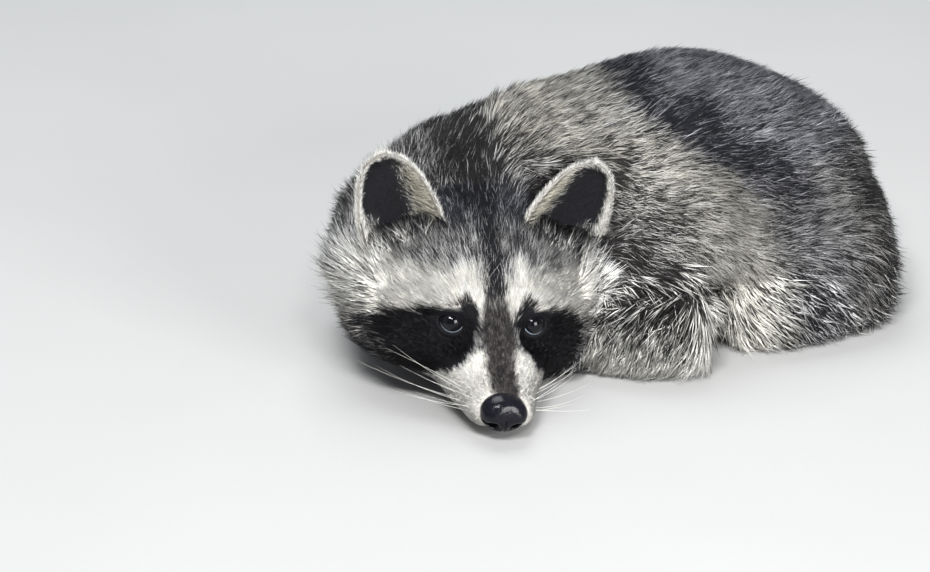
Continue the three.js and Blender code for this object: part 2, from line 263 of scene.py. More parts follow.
def halves(quads: Array) -> Array:
    """Cuts each quad into two triangles."""
    return np.concatenate([quads[:, [0, 1, 2]], quads[:, [0, 2, 3]]])


def joined(shells: list[tuple[Array, Array]]) -> tuple[Array, Array]:
    """Puts many shapes' vertices and faces together as one shape's."""
    starts = np.cumsum([0] + [len(verts) for verts, _ in shells])
    faces = [faces + start for (_, faces), start in zip(shells, starts)]
    return np.concatenate([verts for verts, _ in shells]), np.concatenate(faces)


def outward(shape: tuple[Array, Array]) -> tuple[Array, Array]:
    """Turns the faces round if the shape's signed volume says they point inwards."""
    verts, faces = shape
    a, b, c = (verts[faces[:, k]] for k in range(3))
    return verts, faces if dot(a, np.cross(b, c)).sum() > 0 else faces[:, ::-1]


def rod(spine: Array, girth: Array, sides: int, up: Array, flat: float = 1.0) -> Array:
    """Rings of points round a spine: spine + girth (flat cos a across + sin a over).

    Args:
        spine: rows of x, y, z along the rod.
        girth: the rod's radius at each of them.
        sides: the points in a ring.
        up: the direction that a ring's sides are level to.
        flat: a ring's width as a share of its height.

    Returns:
        Array of (rings, sides, 3).
    """
    tangent = unit(np.gradient(spine, axis=0))
    across = unit(np.cross(tangent, up))
    over = np.cross(across, tangent)
    angle = 2 * math.pi * np.arange(sides) / sides
    return spine[:, None, :] + girth[:, None, None] * (
        flat * np.cos(angle)[:, None] * across[:, None, :]
        + np.sin(angle)[:, None] * over[:, None, :]
    )


def closed_tube(rings: Array) -> tuple[Array, Array]:
    """Closes a stack of rings with a point at each end, as triangles that face outwards.

    Args:
        rings: array of (rings, points, 3), each ring turning left about the way the stack runs.

    Returns:
        Vertices and triangles.
    """
    count, sides, _ = rings.shape
    verts = np.concatenate(
        [rings.reshape(-1, 3), rings[:1].mean(axis=1), rings[-1:].mean(axis=1)]
    )
    walls = halves(grid_faces(count, sides, True))
    j = np.arange(sides)
    k = (j + 1) % sides
    first = np.full(sides, count * sides)
    start = np.stack([first, k, j], axis=1)
    offset = (count - 1) * sides
    end = np.stack([first + 1, offset + j, offset + k], axis=1)
    return verts, np.concatenate([walls, start, end])


# ---- the body's shape as a field -------------------------------------------------------

LEAST_END, LEAST_SIZE = 0.12, 0.8  # a ring at a domed end: share of its size, millimetres
LEAST_RING = 0.05  # of the ring's own measure, below which a point is at the spine
BESIDE = 0.5  # how far ahead of the spine's ends a point still counts as beside it


@dataclass
class Loft:
    """A fleshy length: rounded rings along a smooth spine, domed at both ends.

    Each row is x, y, z of the spine, then the ring's half width, its height over the
    spine and its depth under it. A ring is |a/w|^p + |u/h|^p = 1, with the power `under`
    below the spine.
    """

    rows: Array
    up: Array = field(default_factory=lambda: UPWARDS)
    power: float = 2.2
    under: float = 2.2
    dome: tuple[float, float] = (0.12, 0.12)
    inset: float = 0.0
    blend: float = 10.0
    stations: int = 26
    turned: bool = False

    def __post_init__(self) -> None:
        """Works out the spine, its frame and the rings' sizes at even stations."""
        t = np.linspace(0.0, 1.0, self.stations)
        values = along(np.asarray(self.rows, float), t)
        near = np.clip(t / self.dome[0], 0, 1) if self.dome[0] else np.ones_like(t)
        far = np.clip((1 - t) / self.dome[1], 0, 1) if self.dome[1] else np.ones_like(t)
        ends = np.sqrt(1 - (1 - near) ** 2) * np.sqrt(1 - (1 - far) ** 2)
        self.centre = values[:, :3]
        sizes = values[:, 3:] * np.maximum(ends, LEAST_END)[:, None] - self.inset
        self.sizes = np.maximum(sizes, LEAST_SIZE)
        self.tangent = unit(np.gradient(self.centre, axis=0))
        up = np.asarray(self.up, float)
        if self.turned:
            self.centre = HEAD.to_world(self.centre)
            self.tangent = self.tangent @ HEAD.matrix.T
            up = HEAD.matrix @ up
        self.side = unit(np.cross(self.tangent, up))
        self.rise = np.cross(self.side, self.tangent)

    def place(self, points: Array) -> tuple[Array, Array, Array, Array]:
        """Finds where each point lies about the spine.

        Args:
            points: rows of x, y, z.

        Returns:
            The place along the spine from 0 to 1, and the offsets across, up and
            along the spine from its nearest point.
        """
        best = np.full(len(points), np.inf)
        at = np.zeros(len(points))
        for i in range(self.stations - 1):
            run = self.centre[i + 1] - self.centre[i]
            away = points - self.centre[i]
            s = np.clip(away @ run / (run @ run), 0.0, 1.0)
            gap = away - s[:, None] * run
            square = dot(gap, gap)
            closer = square < best
            best[closer] = square[closer]
            at[closer] = i + s[closer]
        low = np.minimum(at.astype(int), self.stations - 2)
        share = at - low

        def between(table: Array) -> Array:
            """A station's values, blended to the point's own place."""
            return mix(table[low], table[low + 1], share)

        offset = points - between(self.centre)
        self.found = between(self.sizes)
        across = dot(offset, between(self.side))
        rise = dot(offset, between(self.rise))
        ahead = dot(offset, between(self.tangent))
        return at / (self.stations - 1), across, rise, ahead

    def distance(self, points: Array) -> Array:
        """Distance out of the surface along the line from the spine, negative inside."""
        _, across, rise, ahead = self.place(points)
        wide = self.found[:, 0]
        tall = np.where(rise > 0, self.found[:, 1], self.found[:, 2])
        power = np.where(rise > 0, self.power, self.under)
        ring = (np.abs(across / wide) ** power + np.abs(rise / tall) ** power) ** (1 / power)
        radial = np.hypot(across, rise)
        short = np.minimum(wide, tall)
        out = radial - radial / np.maximum(ring, LEAST_RING)
        out = np.where(ring > LEAST_RING, out, -short)
        past = np.hypot(np.maximum(out, 0), ahead) + np.minimum(out, 0)
        return np.where(np.abs(ahead) > BESIDE, past, out)

    def chart(self, points: Array) -> tuple[Array, Array]:
        """Place along the spine and angle round it, both from 0 to 1: the skin unrolled."""
        t, across, rise, _ = self.place(points)
        return t, np.arctan2(across, rise) / (2 * math.pi) + 0.5

    def heading(self, points: Array) -> Array:
        """The spine's direction beside each point."""
        t, _, _, _ = self.place(points)
        return along(self.tangent, t)


@dataclass(frozen=True)
class HeadPlace:
    """Where the head is: turned by yaw, pitch and roll about the point between the eyes."""

    height: float = 45.0
    yaw: float = 13.5
    pitch: float = 11.8
    roll: float = 9.1

    @property
    def matrix(self) -> Array:
        """The turn from the head's axes to the animal's: roll, then pitch, then yaw."""
        return turn(2, self.yaw) @ turn(0, self.pitch) @ turn(1, self.roll)

    def to_world(self, local: Array) -> Array:
        """Points in the head's axes as points in this file's axes."""
        return local @ self.matrix.T + np.array([0.0, 0.0, self.height])

    def to_local(self, world: Array) -> Array:
        """Points in this file's axes as points in the head's axes."""
        return (world - np.array([0.0, 0.0, self.height])) @ self.matrix


HEAD = HeadPlace()


@dataclass(frozen=True)
class Lump:
    """An egg-shaped swelling or hollow, given in the axes of the head or of an ear."""

    centre: tuple[float, float, float]
    radii: tuple[float, float, float]
    blend: float
    carve: bool = False
    axes: "HeadPlace | Ear" = HEAD

    @property
    def middle(self) -> Array:
        """The egg's middle, in this file's axes."""
        return self.axes.to_world(np.array(self.centre))

    def distance(self, points: Array) -> Array:
        """Distance out of the egg, scaled by its middle radius."""
        local = (self.axes.to_local(points) - np.array(self.centre)) / np.array(self.radii)
        return (np.linalg.norm(local, axis=1) - 1.0) * float(np.mean(self.radii))


# Rows as in `Loft`: the outline of the coat, which `inset` brings in to the skin.
TRUNK_ROWS = [
    [-14, 120, 46, 62, 68, 49],
    [16, 122, 46, 80, 81, 49],
    [58, 131, 46, 85, 89, 49],
    [96, 145, 46, 89, 94, 49],
    [127, 162, 46, 88, 91, 49],
    [153, 183, 44, 78, 76, 47],
    [171, 205, 40, 61, 56, 43],
    [181, 223, 34, 40, 34, 36],
]
NECK_ROWS = [
    [-13, 46, 50, 63, 36, 32],
    [-16, 70, 56, 73, 43, 46],
    [-13, 94, 60, 75, 50, 58],
    [14, 118, 60, 68, 70, 63],
]
TAIL_ROWS = [
    [162, 222, 38, 27, 25, 30],
    [160, 256, 30, 29, 26, 32],
    [130, 286, 28, 30, 27, 30],
    [84, 298, 28, 30, 27, 30],
    [36, 290, 27, 28, 25, 29],
    [-4, 272, 22, 19, 17, 24],
]
SKULL_ROWS = [
    [0, -6, -8, 25, 18.5, 21],
    [0, 8, -10, 42, 28.5, 29],
    [0, 24, -9, 58, 36.5, 29],
    [0, 42, -6, 67, 39, 24],
    [0, 62, -3, 67, 38, 20],
    [0, 84, 0, 52, 31, 16],
]
MUZZLE_ROWS = [
    [-1.9, -50, -21.6, 11.6, 11.0, 9.6],
    [-0.8, -40, -23, 19.5, 14.5, 12.5],
    [-0.3, -26, -23, 26.5, 19.5, 17],
    [0, -10, -20, 33, 26, 21],
    [0, 8, -16, 41, 31, 25],
]
LEG_ROWS = {
    "forearm_left": [
        [112, 54, 25, 29, 38, 28],
        [84, 45, 22, 26, 33, 24],
        [50, 40, 14, 15, 14, 16],
    ],
    "forearm_right": [
        [-44, 182, 23, 22, 20, 25],
        [-50, 154, 18, 18, 15, 20],
        [-54, 124, 13, 12, 10, 15],
    ],
    "upper_arm_left": [
        [84, 110, 76, 36, 34, 34],
        [96, 84, 54, 42, 42, 40],
        [104, 67, 30, 38, 36, 36],
    ],
    "upper_arm_right": [
        [-18, 138, 74, 32, 34, 30],
        [-32, 162, 52, 32, 32, 28],
        [-40, 182, 30, 26, 26, 25],
    ],
    "thigh_left": [
        [182, 150, 44, 39, 42, 42],
        [192, 106, 30, 35, 42, 33],
        [122, 78, 25, 33, 40, 28],
    ],
    "thigh_right": [
        [100, 190, 48, 42, 42, 50],
        [80, 212, 36, 42, 36, 39],
        [56, 206, 27, 33, 26, 30],
    ],
}
FORWARD_UP = np.array([0.0, 1.0, 0.0])
DIGITS = 5


@dataclass(frozen=True)
class PawPlace:
    """A paw's place on the ground: its wrist or heel, where it points, and its sizes."""

    name: str
    at: tuple[float, float]
    towards: tuple[float, float]
    length: float
    wide: float
    high: float
    digit: float
    thick: float
    spread: float

    def to_world(self, local: Array) -> Array:
        """Points in the paw's own axes, y towards the toes, as points of this file."""
        run = np.array(self.towards) - np.array(self.at)
        heading = math.degrees(math.atan2(run[1], run[0])) - 90.0
        return local @ turn(2, heading).T + np.array([*self.at, 0.0])

    def digit_line(self, index: int) -> tuple[Array, Array]:
        """Start and end of a digit on the ground; the middle ones reach furthest."""
        place = (index - 2) / 2
        reach = self.digit * (1 - 0.22 * place**2)
        start = np.array([place * self.wide * 0.78, self.length - self.digit - 4 * place**2])
        heading = math.radians(self.spread * 2 * place)
        return start, start + reach * np.array([math.sin(heading), math.cos(heading)])

    def lofts(self) -> list[Loft]:
        """The palm or sole and its digits."""
        back = self.length - self.digit
        h, w, k = self.high, self.wide, self.thick
        rows = [
            [0, -6, h * 0.55, w * 0.62, h * 0.5, h * 0.62],
            [0, back * 0.45, h * 0.45, w * 0.85, h * 0.48, h * 0.52],
            [0, back + 4, h * 0.34, w, h * 0.36, h * 0.42],
        ]
        made = [self.loft(rows, (0.1, 0.22), 3.0)]
        for index in range(DIGITS):
            start, end = self.digit_line(index)
            middle = (start + end) / 2
            rows = [
                [start[0], start[1] - 6, k, k, k, k],
                [middle[0], middle[1], k * 1.25, k * 0.95, k, k * 1.3],
                [end[0], end[1], k * 0.75, k * 0.8, k * 0.8, k * 0.9],
            ]
            made.append(self.loft(rows, (0.05, 0.2), 1.5))
        return made

    def loft(self, rows: list, dome: tuple[float, float], blend: float) -> Loft:
        """A loft whose spine is turned to where the paw lies."""
        table = np.array(rows, float)
        table[:, :3] = self.to_world(table[:, :3])
        return Loft(table, dome=dome, inset=0.6, blend=blend, stations=9)


PAWS = [
    PawPlace("forepaw_left", (52, 40), (-20, 28), 64, 15, 13, 30, 4.2, 9),
    PawPlace("forepaw_right", (-54, 126), (-48, 56), 64, 15, 13, 30, 4.2, 9),
    PawPlace("hindpaw_left", (222, 176), (180, 92), 94, 17, 19, 26, 4.8, 10),
    PawPlace("hindpaw_right", (118, 226), (28, 236), 94, 17, 19, 26, 4.8, 10),
]


class Region(IntEnum):
    """Which part of the body a place on the skin belongs to."""

    HEAD = 0
    NECK = 1
    TRUNK = 2
    TAIL = 3
    LEG = 4
    PAW = 5
    EAR = 6
    HAUNCH = 7


HIDE = (Region.TRUNK, Region.NECK, Region.HAUNCH)
UPPER_LEGS = ("upper", "thigh")
LATTICE_LOW = np.array([-112.0, -78.0, -8.0])
LATTICE_HIGH = np.array([262.0, 340.0, 152.0])
NECK_LENGTH, TRUNK_LENGTH = 95.0, 228.0  # of their spines
NECK_MEETS = 0.8  # the place along the neck where the trunk begins
SLIDES, MOST_SLIDE, LEAST_SLOPE = 3, 1.2, 0.2  # how the net's points slide onto the skin

@dataclass
class Flesh:
    """The whole body under its coat, as one smooth field: negative inside, in millimetres."""

    step: float = 2.0
    reach: float = 16.0
    floor: float = 1.0
    floor_blend: float = 3.0
    outside: float = 40.0  # the field before any form is in it

    def __post_init__(self) -> None:
        """Lists the forms and fills the lattice with their rounded union."""
        trunk = Loft(TRUNK_ROWS, dome=(0.1, 0.08), inset=5.5, blend=16, under=5.0)
        neck = Loft(NECK_ROWS, power=2.05, dome=(0.12, 0.1), inset=6.0, blend=20)
        tail = Loft(TAIL_ROWS, dome=(0.04, 0.14), inset=7.5, blend=12)
        skull = Loft(SKULL_ROWS, power=2.1, dome=(0.1, 0.14), blend=10, turned=True)
        muzzle = Loft(MUZZLE_ROWS, dome=(0.07, 0.1), inset=2.0, blend=9, turned=True)
        self.trunk, self.neck, self.tail, self.skull, self.muzzle = trunk, neck, tail, skull, muzzle
        self.forms = [(trunk, Region.TRUNK), (neck, Region.NECK), (tail, Region.TAIL)]
        for name, rows in LEG_ROWS.items():
            upper = name.startswith(UPPER_LEGS)
            leg = Loft(
                rows,
                up=FORWARD_UP if name.startswith("upper") else UPWARDS,
                under=3.2,
                dome=(0.22, 0.2),
                inset=4.5 if upper else 4.0,
                blend=26 if upper else 24,
                stations=16,
            )
            self.forms.append((leg, Region.HAUNCH if upper else Region.LEG))
        for paw in PAWS:
            self.forms += [(loft, Region.PAW) for loft in paw.lofts()]
        self.forms += [(skull, Region.HEAD), (muzzle, Region.HEAD)]
        self.lumps = [
            lump
            for side in (-1, 1)
            for lump in (
                Lump((side * 22, 11, 10.5), (18, 13, 7.5), 10),
                Lump((side * 38, 24, -20), (24, 26, 17), 14),
                Lump((side * 9.5 - 0.8, -38, -23.5), (9, 13, 8), 6),
                Lump((side * 25, -11, 0.5), (12.5, 10.5, 9.5), 7, carve=True),
                Lump((side * 4, -14, 40), (30, 27, 42), 6, carve=True, axes=Ear(side)),
            )
        ]
        self.low = LATTICE_LOW
        self.shape = tuple(np.ceil((LATTICE_HIGH - self.low) / self.step).astype(int))
        self.values = np.full(self.shape, self.outside)
        for loft, _ in self.forms:
            pad = loft.sizes.max(axis=1, keepdims=True) + self.reach
            corners = (loft.centre - pad).min(axis=0), (loft.centre + pad).max(axis=0)
            self.join(*corners, loft)
        for lump in self.lumps:
            pad = max(lump.radii) + self.reach
            self.join(lump.middle - pad, lump.middle + pad, lump, lump.carve)
        height = self.low[2] + self.step * np.arange(self.shape[2])
        self.values = -smallest(-self.values, height[None, None, :] - self.floor, self.floor_blend)

    def join(self, low: Array, high: Array, form: Loft | Lump, carve: bool = False) -> None:
        """Unites a form with the field, or carves it out, inside a box.

        Args:
            low: the box's lowest corner.
            high: its highest corner.
            form: what to unite, with the width over which the joint is rounded.
            carve: takes the form away instead.
        """
        first = np.clip(np.floor((low - self.low) / self.step).astype(int), 0, self.shape)
        last = np.clip(np.ceil((high - self.low) / self.step).astype(int) + 1, 0, self.shape)
        box = tuple(slice(a, b) for a, b in zip(first, last))
        axes = [self.low[k] + self.step * np.arange(first[k], last[k]) for k in range(3)]
        points = np.stack(np.meshgrid(*axes, indexing="ij"), axis=-1).reshape(-1, 3)
        value = form.distance(points).reshape(self.values[box].shape)
        if carve:
            self.values[box] = -smallest(-self.values[box], value, form.blend)
        else:
            self.values[box] = smallest(self.values[box], value, form.blend)

    def run(self, points: Array) -> Array:
        """Millimetres along the back: 0 where the neck meets the trunk, less before it."""
        t, _, _, _ = self.trunk.place(points)
        trunk = self.trunk.distance(points)
        before, _, _, _ = self.neck.place(points)
        neck = self.neck.distance(points)
        share = smooth(-12.0, 12.0, neck - trunk)
        return (1 - share) * (before - NECK_MEETS) * NECK_LENGTH + share * t * TRUNK_LENGTH

    def sample(self, points: Array) -> Array:
        """The field at any points, blended between the lattice's eight corners."""
        place = np.clip((points - self.low) / self.step, 0.0, np.array(self.shape) - 1.001)
        cell = place.astype(int)
        return blend_corners(place - cell, lambda offset: self.values[tuple((cell + offset).T)])

    def slope(self, points: Array) -> Array:
        """The field's gradient, by differences over one and a half steps."""
        d = self.step * 0.75
        ahead = [self.sample(points + m) - self.sample(points - m) for m in np.eye(3) * d]
        return np.stack(ahead, axis=1) / (2 * d)

    def surface(self) -> tuple[Array, Array]:
        """Meshes the field's zero by surface nets, then slides the points onto the zero.

        Returns:
            Vertices, and triangles that face outwards.
        """
        inside = self.values < 0
        verts, index = self.net_points(inside)
        quads = self.net_quads(inside, index)
        for _ in range(SLIDES):
            slope = self.slope(verts)
            move = self.sample(verts) / np.maximum(dot(slope, slope), LEAST_SLOPE)
            verts = verts - np.clip(move, -MOST_SLIDE, MOST_SLIDE)[:, None] * slope
        return verts, halves(quads)

    def net_points(self, inside: Array) -> tuple[Array, Array]:
        """One point in each cell that the zero crosses: the mean of its edges' crossings.

        Args:
            inside: which corners of the lattice are in the flesh.

        Returns:
            The points, and each cell's place among them, or -1.
        """
        cells = tuple(n - 1 for n in self.shape)
        total = np.zeros((*cells, 3))
        count = np.zeros(cells)
        for axis in range(3):
            others = [k for k in range(3) if k != axis]
            for shift in np.ndindex(2, 2):
                start, end = [slice(None)] * 3, [slice(None)] * 3
                for k, s in zip(others, shift):
                    start[k] = end[k] = slice(s, s + cells[k])
                start[axis], end[axis] = slice(0, cells[axis]), slice(1, cells[axis] + 1)
                start, end = tuple(start), tuple(end)
                a, b = self.values[start], self.values[end]
                crossed = inside[start] != inside[end]
                t = np.where(crossed, a / np.where(crossed, a - b, 1.0), 0.0)
                total[..., axis] += t
                for k, s in zip(others, shift):
                    total[..., k] += crossed * s
                count += crossed
        used = count > 0
        index = np.full(cells, -1)
        index[used] = np.arange(used.sum())
        origin = np.stack(np.nonzero(used), axis=1)
        return self.low + self.step * (origin + total[used] / count[used][:, None]), index

    def net_quads(self, inside: Array, index: Array) -> Array:
        """One quad for each crossed edge of the lattice, between the four cells round it.

        Args:
            inside: which corners of the lattice are in the flesh.
            index: each cell's place among the points.

        Returns:
            Rows of four corners, facing outwards.
        """
        quads = []
        for axis in range(3):
            j, k = (axis + 1) % 3, (axis + 2) % 3
            low, high = [slice(1, -1)] * 3, [slice(1, -1)] * 3
            low[axis], high[axis] = slice(0, -1), slice(1, None)
            a, b = inside[tuple(low)], inside[tuple(high)]
            where = np.stack(np.nonzero(a != b), axis=1) + 1
            where[:, axis] -= 1
            square = []
            for dj, dk in ((-1, -1), (0, -1), (0, 0), (-1, 0)):
                cell = where.copy()
                cell[:, j] += dj
                cell[:, k] += dk
                square.append(index[tuple(cell.T)])
            quad = np.stack(square, axis=1)
            quads.append(np.where(a[a != b][:, None], quad, quad[:, ::-1]))
        return np.concatenate(quads)


# ---- markings ------------------------------------------------------------------------

FACE_TILT = math.radians(38.0)  # the face is charted as seen along a line this far above it
CREAM = np.array([0.90, 0.88, 0.82])
PALE = np.array([0.80, 0.79, 0.76])
UNDER_PALE = np.array([0.34, 0.32, 0.29])
UNDER_DARK = np.array([0.050, 0.046, 0.045])
# Black tinted blue by a painted sky reflection, for the saddle, the rump and the crown.
SKY_TINTED_BLACK = np.array([0.020, 0.023, 0.033])
SOOT = np.array([0.012, 0.012, 0.015])
STRAW = np.array([0.60, 0.57, 0.46])
BRIDGE_PALE = np.array([0.19, 0.170, 0.158])
BRIDGE_DARK = np.array([0.014, 0.012, 0.012])
CLAW_BASE = np.array([0.030, 0.024, 0.020])
CLAW_TIP = np.array([0.11, 0.085, 0.065])
WHISKER_ROOT = np.array([0.20, 0.18, 0.16])
EYE_BLACK = np.array([0.002, 0.002, 0.003])
EYE_IRIS = np.array([0.006, 0.006, 0.008])
# Pale blue of a painted reflection just inside the lower lid.
EYE_EDGE_REFLECTION = np.array([0.36, 0.43, 0.50])
NOSE_BLACK = np.array([0.006, 0.006, 0.009])
# Darker black of painted shade in the nostrils and the groove.
NOSTRIL_SHADE = np.array([0.002, 0.002, 0.002])

# Tables of two rows for np.interp. The band behind the shoulders: how far along the back its
# middle lies, by height. The mask and the face's line: their edges, by place on the face.
BAND = ((0, 30, 60, 80, 94, 107, 117, 127, 140), (99, 98, 97, 98, 90, 74, 63, 54, 44))
MASK_TOP = ((0, 9, 12, 15, 18, 22, 35, 50, 64, 76), (2, 0, 7, 14, 10.5, 8.5, 7.5, 6, 3, -4))
MASK_LOW = ((9, 13, 16, 21, 30, 44, 55, 62, 68), (-3, -10, -17, -23, -27, -25, -20, -14, -8))
CHEEK_TOP = ((0, 13, 16, 21, 30, 44, 55, 66, 80), (-15, -15, -17, -23, -27, -24, -18, -12, -12))
LINE_HALF = ((-45, -30, -18, -8, 2, 17, 30, 50, 70), (8, 6.5, 7.5, 9, 7.5, 5, 3.8, 4.5, 12))


def face_height(local: Array) -> Array:
    """How far up the face points in the head's axes are charted."""
    return local[:, 1] * math.sin(FACE_TILT) + local[:, 2] * math.cos(FACE_TILT)


@dataclass
class FaceChart:
    """Where points lie on the face: `out` from its middle line, `up` it from the nose."""

    points: Array

    def __post_init__(self) -> None:
        """Turns the points into the head's axes and onto the chart."""
        self.local = HEAD.to_local(self.points)
        self.out = np.abs(self.local[:, 0])
        self.up = face_height(self.local)

    def mask(self, edge: float) -> Array:
        """How far each point is inside the dark mask round the eye, from 0 to 1."""
        low = np.interp(self.out, *MASK_LOW)
        inside = np.minimum.reduce([-self.above_mask(), self.up - low, self.out - 9.0])
        end = np.where(self.local[:, 0] > 0, 53.0, 58.0)
        return smooth(-edge, edge, inside) * smooth(5.0, -5.0, self.out - end)

    def stripe(self) -> Array:
        """How far each point is inside the dark line from the crown down to the nose."""
        half = np.interp(self.up, *LINE_HALF)
        return smooth(half + 1.6, half - 1.2, self.out)

    def above_mask(self) -> Array:
        """Height over the mask's top edge."""
        return self.up - np.interp(self.out, *MASK_TOP)

    def below_mask(self) -> Array:
        """Depth under the mask's lower edge."""
        return np.interp(self.out, *CHEEK_TOP) - self.up


@dataclass
class Markings:
    """The colours of the coat: how many locks are pale, and the pale, dark and root colours."""

    flesh: Flesh
    points: Array
    region: Array
    ear_across: Array
    ear_up: Array
    ear_inside: Array

    def __post_init__(self) -> None:
        """Works out the colours of every point, region by region."""
        count = len(self.points)
        self.share = np.full(count, 0.35)
        self.pale = np.tile(PALE, (count, 1))
        self.dark = np.tile(SOOT * 1.6, (count, 1))
        self.root = np.tile(UNDER_DARK, (count, 1))
        self.even = np.full(count, 0.35)
        self.body()
        self.head()
        self.legs()
        self.tail()
        self.ears()

    def body(self) -> None:
        """Pale band behind dark shoulders, dark saddle, grizzled rump, pale low fringe; a painted
        highlight on the rump's top, painted shade down its rear edge, and a painted blue sky
        reflection on saddle and rump.
        """
        on = np.isin(self.region, (*HIDE, Region.LEG))
        p = self.points[on]
        run = self.flesh.run(p)
        z = p[:, 2]
        mood = noise(p, 22.0, 3) + 0.6 * noise(p, 9.0, 4)
        behind = run - np.interp(z, *BAND) + 5.5 * mood
        top = smooth(60.0, 105.0, z)
        left = smooth(-30.0, 24.0, p[:, 0])
        ahead = 16.0 + 12.0 * top
        band = np.where(behind < 0, bump(0.0, ahead, behind), bump(0.0, 14.0 - 4.0 * top, behind))
        saddle = smooth(9.0, 20.0, behind) * smooth(46.0, 32.0, behind) * (0.5 + 0.5 * top)
        # The rump's top: grizzled grey, made paler still as a painted highlight.
        rear = smooth(30.0, 46.0, behind) * smooth(78.0, 100.0, z)
        flank = smooth(14.0, 34.0, behind) * smooth(100.0, 78.0, z)
        # Painted shade: the rump's rear edge is darkened, standing in for the shade on its far
        # side.
        edge = smooth(138.0, 152.0, run) * smooth(98.0, 84.0, z)
        shoulder = smooth(-12.0, -30.0, behind) * smooth(118.0, 96.0, z)
        nape = smooth(-10.0, -26.0, behind) * smooth(104.0, 116.0, z)
        nape *= smooth(58.0, 86.0, p[:, 1]) * smooth(-60.0, 20.0, p[:, 0])
        low = smooth(48.0, 20.0, z) * smooth(110.0, 84.0, run) * left
        share = 0.36 + 0.42 * band * (1.0 - 0.35 * top) - 0.14 * shoulder * (1.0 - low)
        share += 0.24 * rear + 0.18 * flank + 0.16 * nape + 0.52 * low - 0.26 * saddle - 0.36 * edge
        self.share[on] = np.clip(share + 0.10 * mood, 0.04, 0.9)
        # Painted sky reflection: the dark and pale tips on the saddle and the rump's top are tinted
        # blue.
        painted_sky_tint = np.clip(saddle + rear, 0, 1)
        self.dark[on] = mix(np.array([0.017, 0.0155, 0.0155]), SKY_TINTED_BLACK * 0.9, painted_sky_tint)
        warm = np.clip(0.7 * band + nape, 0, 1)
        pale = mix(PALE * 0.95, CREAM * np.array([0.93, 0.91, 0.86]), warm)
        pale = mix(pale, np.array([0.57, 0.575, 0.62]), painted_sky_tint)
        self.pale[on] = mix(pale, CREAM, low)
        pale_root = np.maximum(0.4 * band, 0.8 * low)
        self.root[on] = mix(self.root[on] * 0.62, UNDER_PALE * 0.4, pale_root)
        self.even[on] = 0.72 - 0.30 * np.clip(band * (1.0 - 0.6 * top) + low, 0, 1)

    def head(self) -> None:
        """Mask, brows, stripe, muzzle, forehead, crown and ruff."""
        on = np.isin(self.region, (Region.HEAD, *HIDE))
        p = self.points[on]
        away = np.minimum(self.flesh.skull.distance(p), self.flesh.muzzle.distance(p))
        chart = FaceChart(p + 0.9 * noise_vector(p, 3.0, 21) + 1.0 * noise_vector(p, 7.0, 25))
        x, up, (aside, back, down) = chart.out, chart.up, chart.local.T
        left = aside > 0
        over, under = chart.above_mask(), chart.below_mask()
        mask, stripe = chart.mask(1.4), chart.stripe()
        share = np.full(len(p), 0.50)
        share += 0.48 * smooth(26.0, 11.0, over) * smooth(-2.0, 1.0, over)
        share += 0.34 * bump(13.0, 5.5, x) * smooth(40.0, 10.0, up) * smooth(-6.0, 0.0, over)
        share += np.where(left, 0.10, 0.22) * bump(64.0, 10.0, x) * bump(31.0, 11.0, up)
        share += 0.34 * bump(50.0, 15.0, x) * bump(13.0, 15.0, over)
        crown = smooth(40.0, 60.0, up) * smooth(64.0, 34.0, x)
        share -= 0.20 * crown
        share -= 0.15 * smooth(16.0, 34.0, up) * smooth(40.0, 18.0, x)
        ruff = smooth(53.0, 63.0, x) * smooth(4.0, -4.0, over) * np.where(left, 0.0, 1.0)
        share -= 0.16 * ruff
        fan = left * smooth(46.0, 56.0, x) * smooth(-48.0, -30.0, over) * smooth(34.0, 18.0, over)
        share += fan * (0.26 * smooth(10.0, 0.0, over) - 0.02)
        share = np.minimum(share, 1.0 - np.where(left, 0.30, 0.20) * smooth(50.0, 58.0, x))
        white = smooth(-1.5, 1.5, under) * smooth(26.0, 8.0, back)
        share = np.maximum(share, 0.98 * white)
        chin = smooth(-24.0, -34.0, down) * smooth(60.0, 20.0, back)
        share = np.maximum(share, 0.75 * chin)
        own = self.region[on] == Region.HEAD
        near = np.where(own, smooth(26.0, 10.0, away), smooth(13.0, 3.0, away))
        head = smooth(94.0, 72.0, back) * near
        share = self.share[on] * (1 - head) + head * share
        bright = np.clip(smooth(0.62, 0.92, share) + white, 0, 1)
        pale = mix(PALE, CREAM, bright)
        # Painted sky reflection: the crown's pale tips here, and its dark tips below, are tinted
        # blue.
        pale = mix(pale, np.array([0.62, 0.63, 0.67]), crown)
        pale = mix(pale, np.array([0.44, 0.40, 0.35]), 0.8 * ruff)
        root = mix(UNDER_DARK * 0.8, UNDER_PALE, bright)
        dark = mix(SOOT * 1.8, SKY_TINTED_BLACK, np.clip(crown, 0, 1))
        bridge = stripe * smooth(16.0, 2.0, up)
        line = stripe * smooth(2.0, 14.0, up)
        share = share * (1 - stripe) + stripe * (0.30 * bridge + 0.05 * line)
        pale = mix(pale, BRIDGE_PALE, bridge)
        dark = mix(mix(dark, BRIDGE_DARK, bridge), SOOT, line)
        root = mix(mix(root, BRIDGE_DARK, bridge), SOOT, line)
        for side in (-1, 1):
            spot = Ear(side).to_local(p)
            corner = np.array([side * -23.0, -9.0, 0.0])
            share *= 1.0 - 0.85 * egg(spot - corner, (7.0, 9.0, 8.0))
            across, ahead, rise = spot.T
            cup = smooth(24.0, 20.0, np.abs(across))
            cup = cup * smooth(-6.0, -2.0, ahead + 0.02 * across**2)
            cup *= smooth(16.0, 10.0, np.abs(ahead)) * smooth(-8.0, -2.0, rise)
            share *= 1.0 - 0.95 * cup
            dark = mix(dark, SOOT * 0.5, cup)
            root = mix(root, SOOT * 0.5, cup)
        mask = mask * head
        self.share[on] = share * (1 - mask)
        self.pale[on] = mix(self.pale[on], pale, head)
        self.dark[on] = mix(mix(self.dark[on], dark, head), SOOT * 0.55, mask)
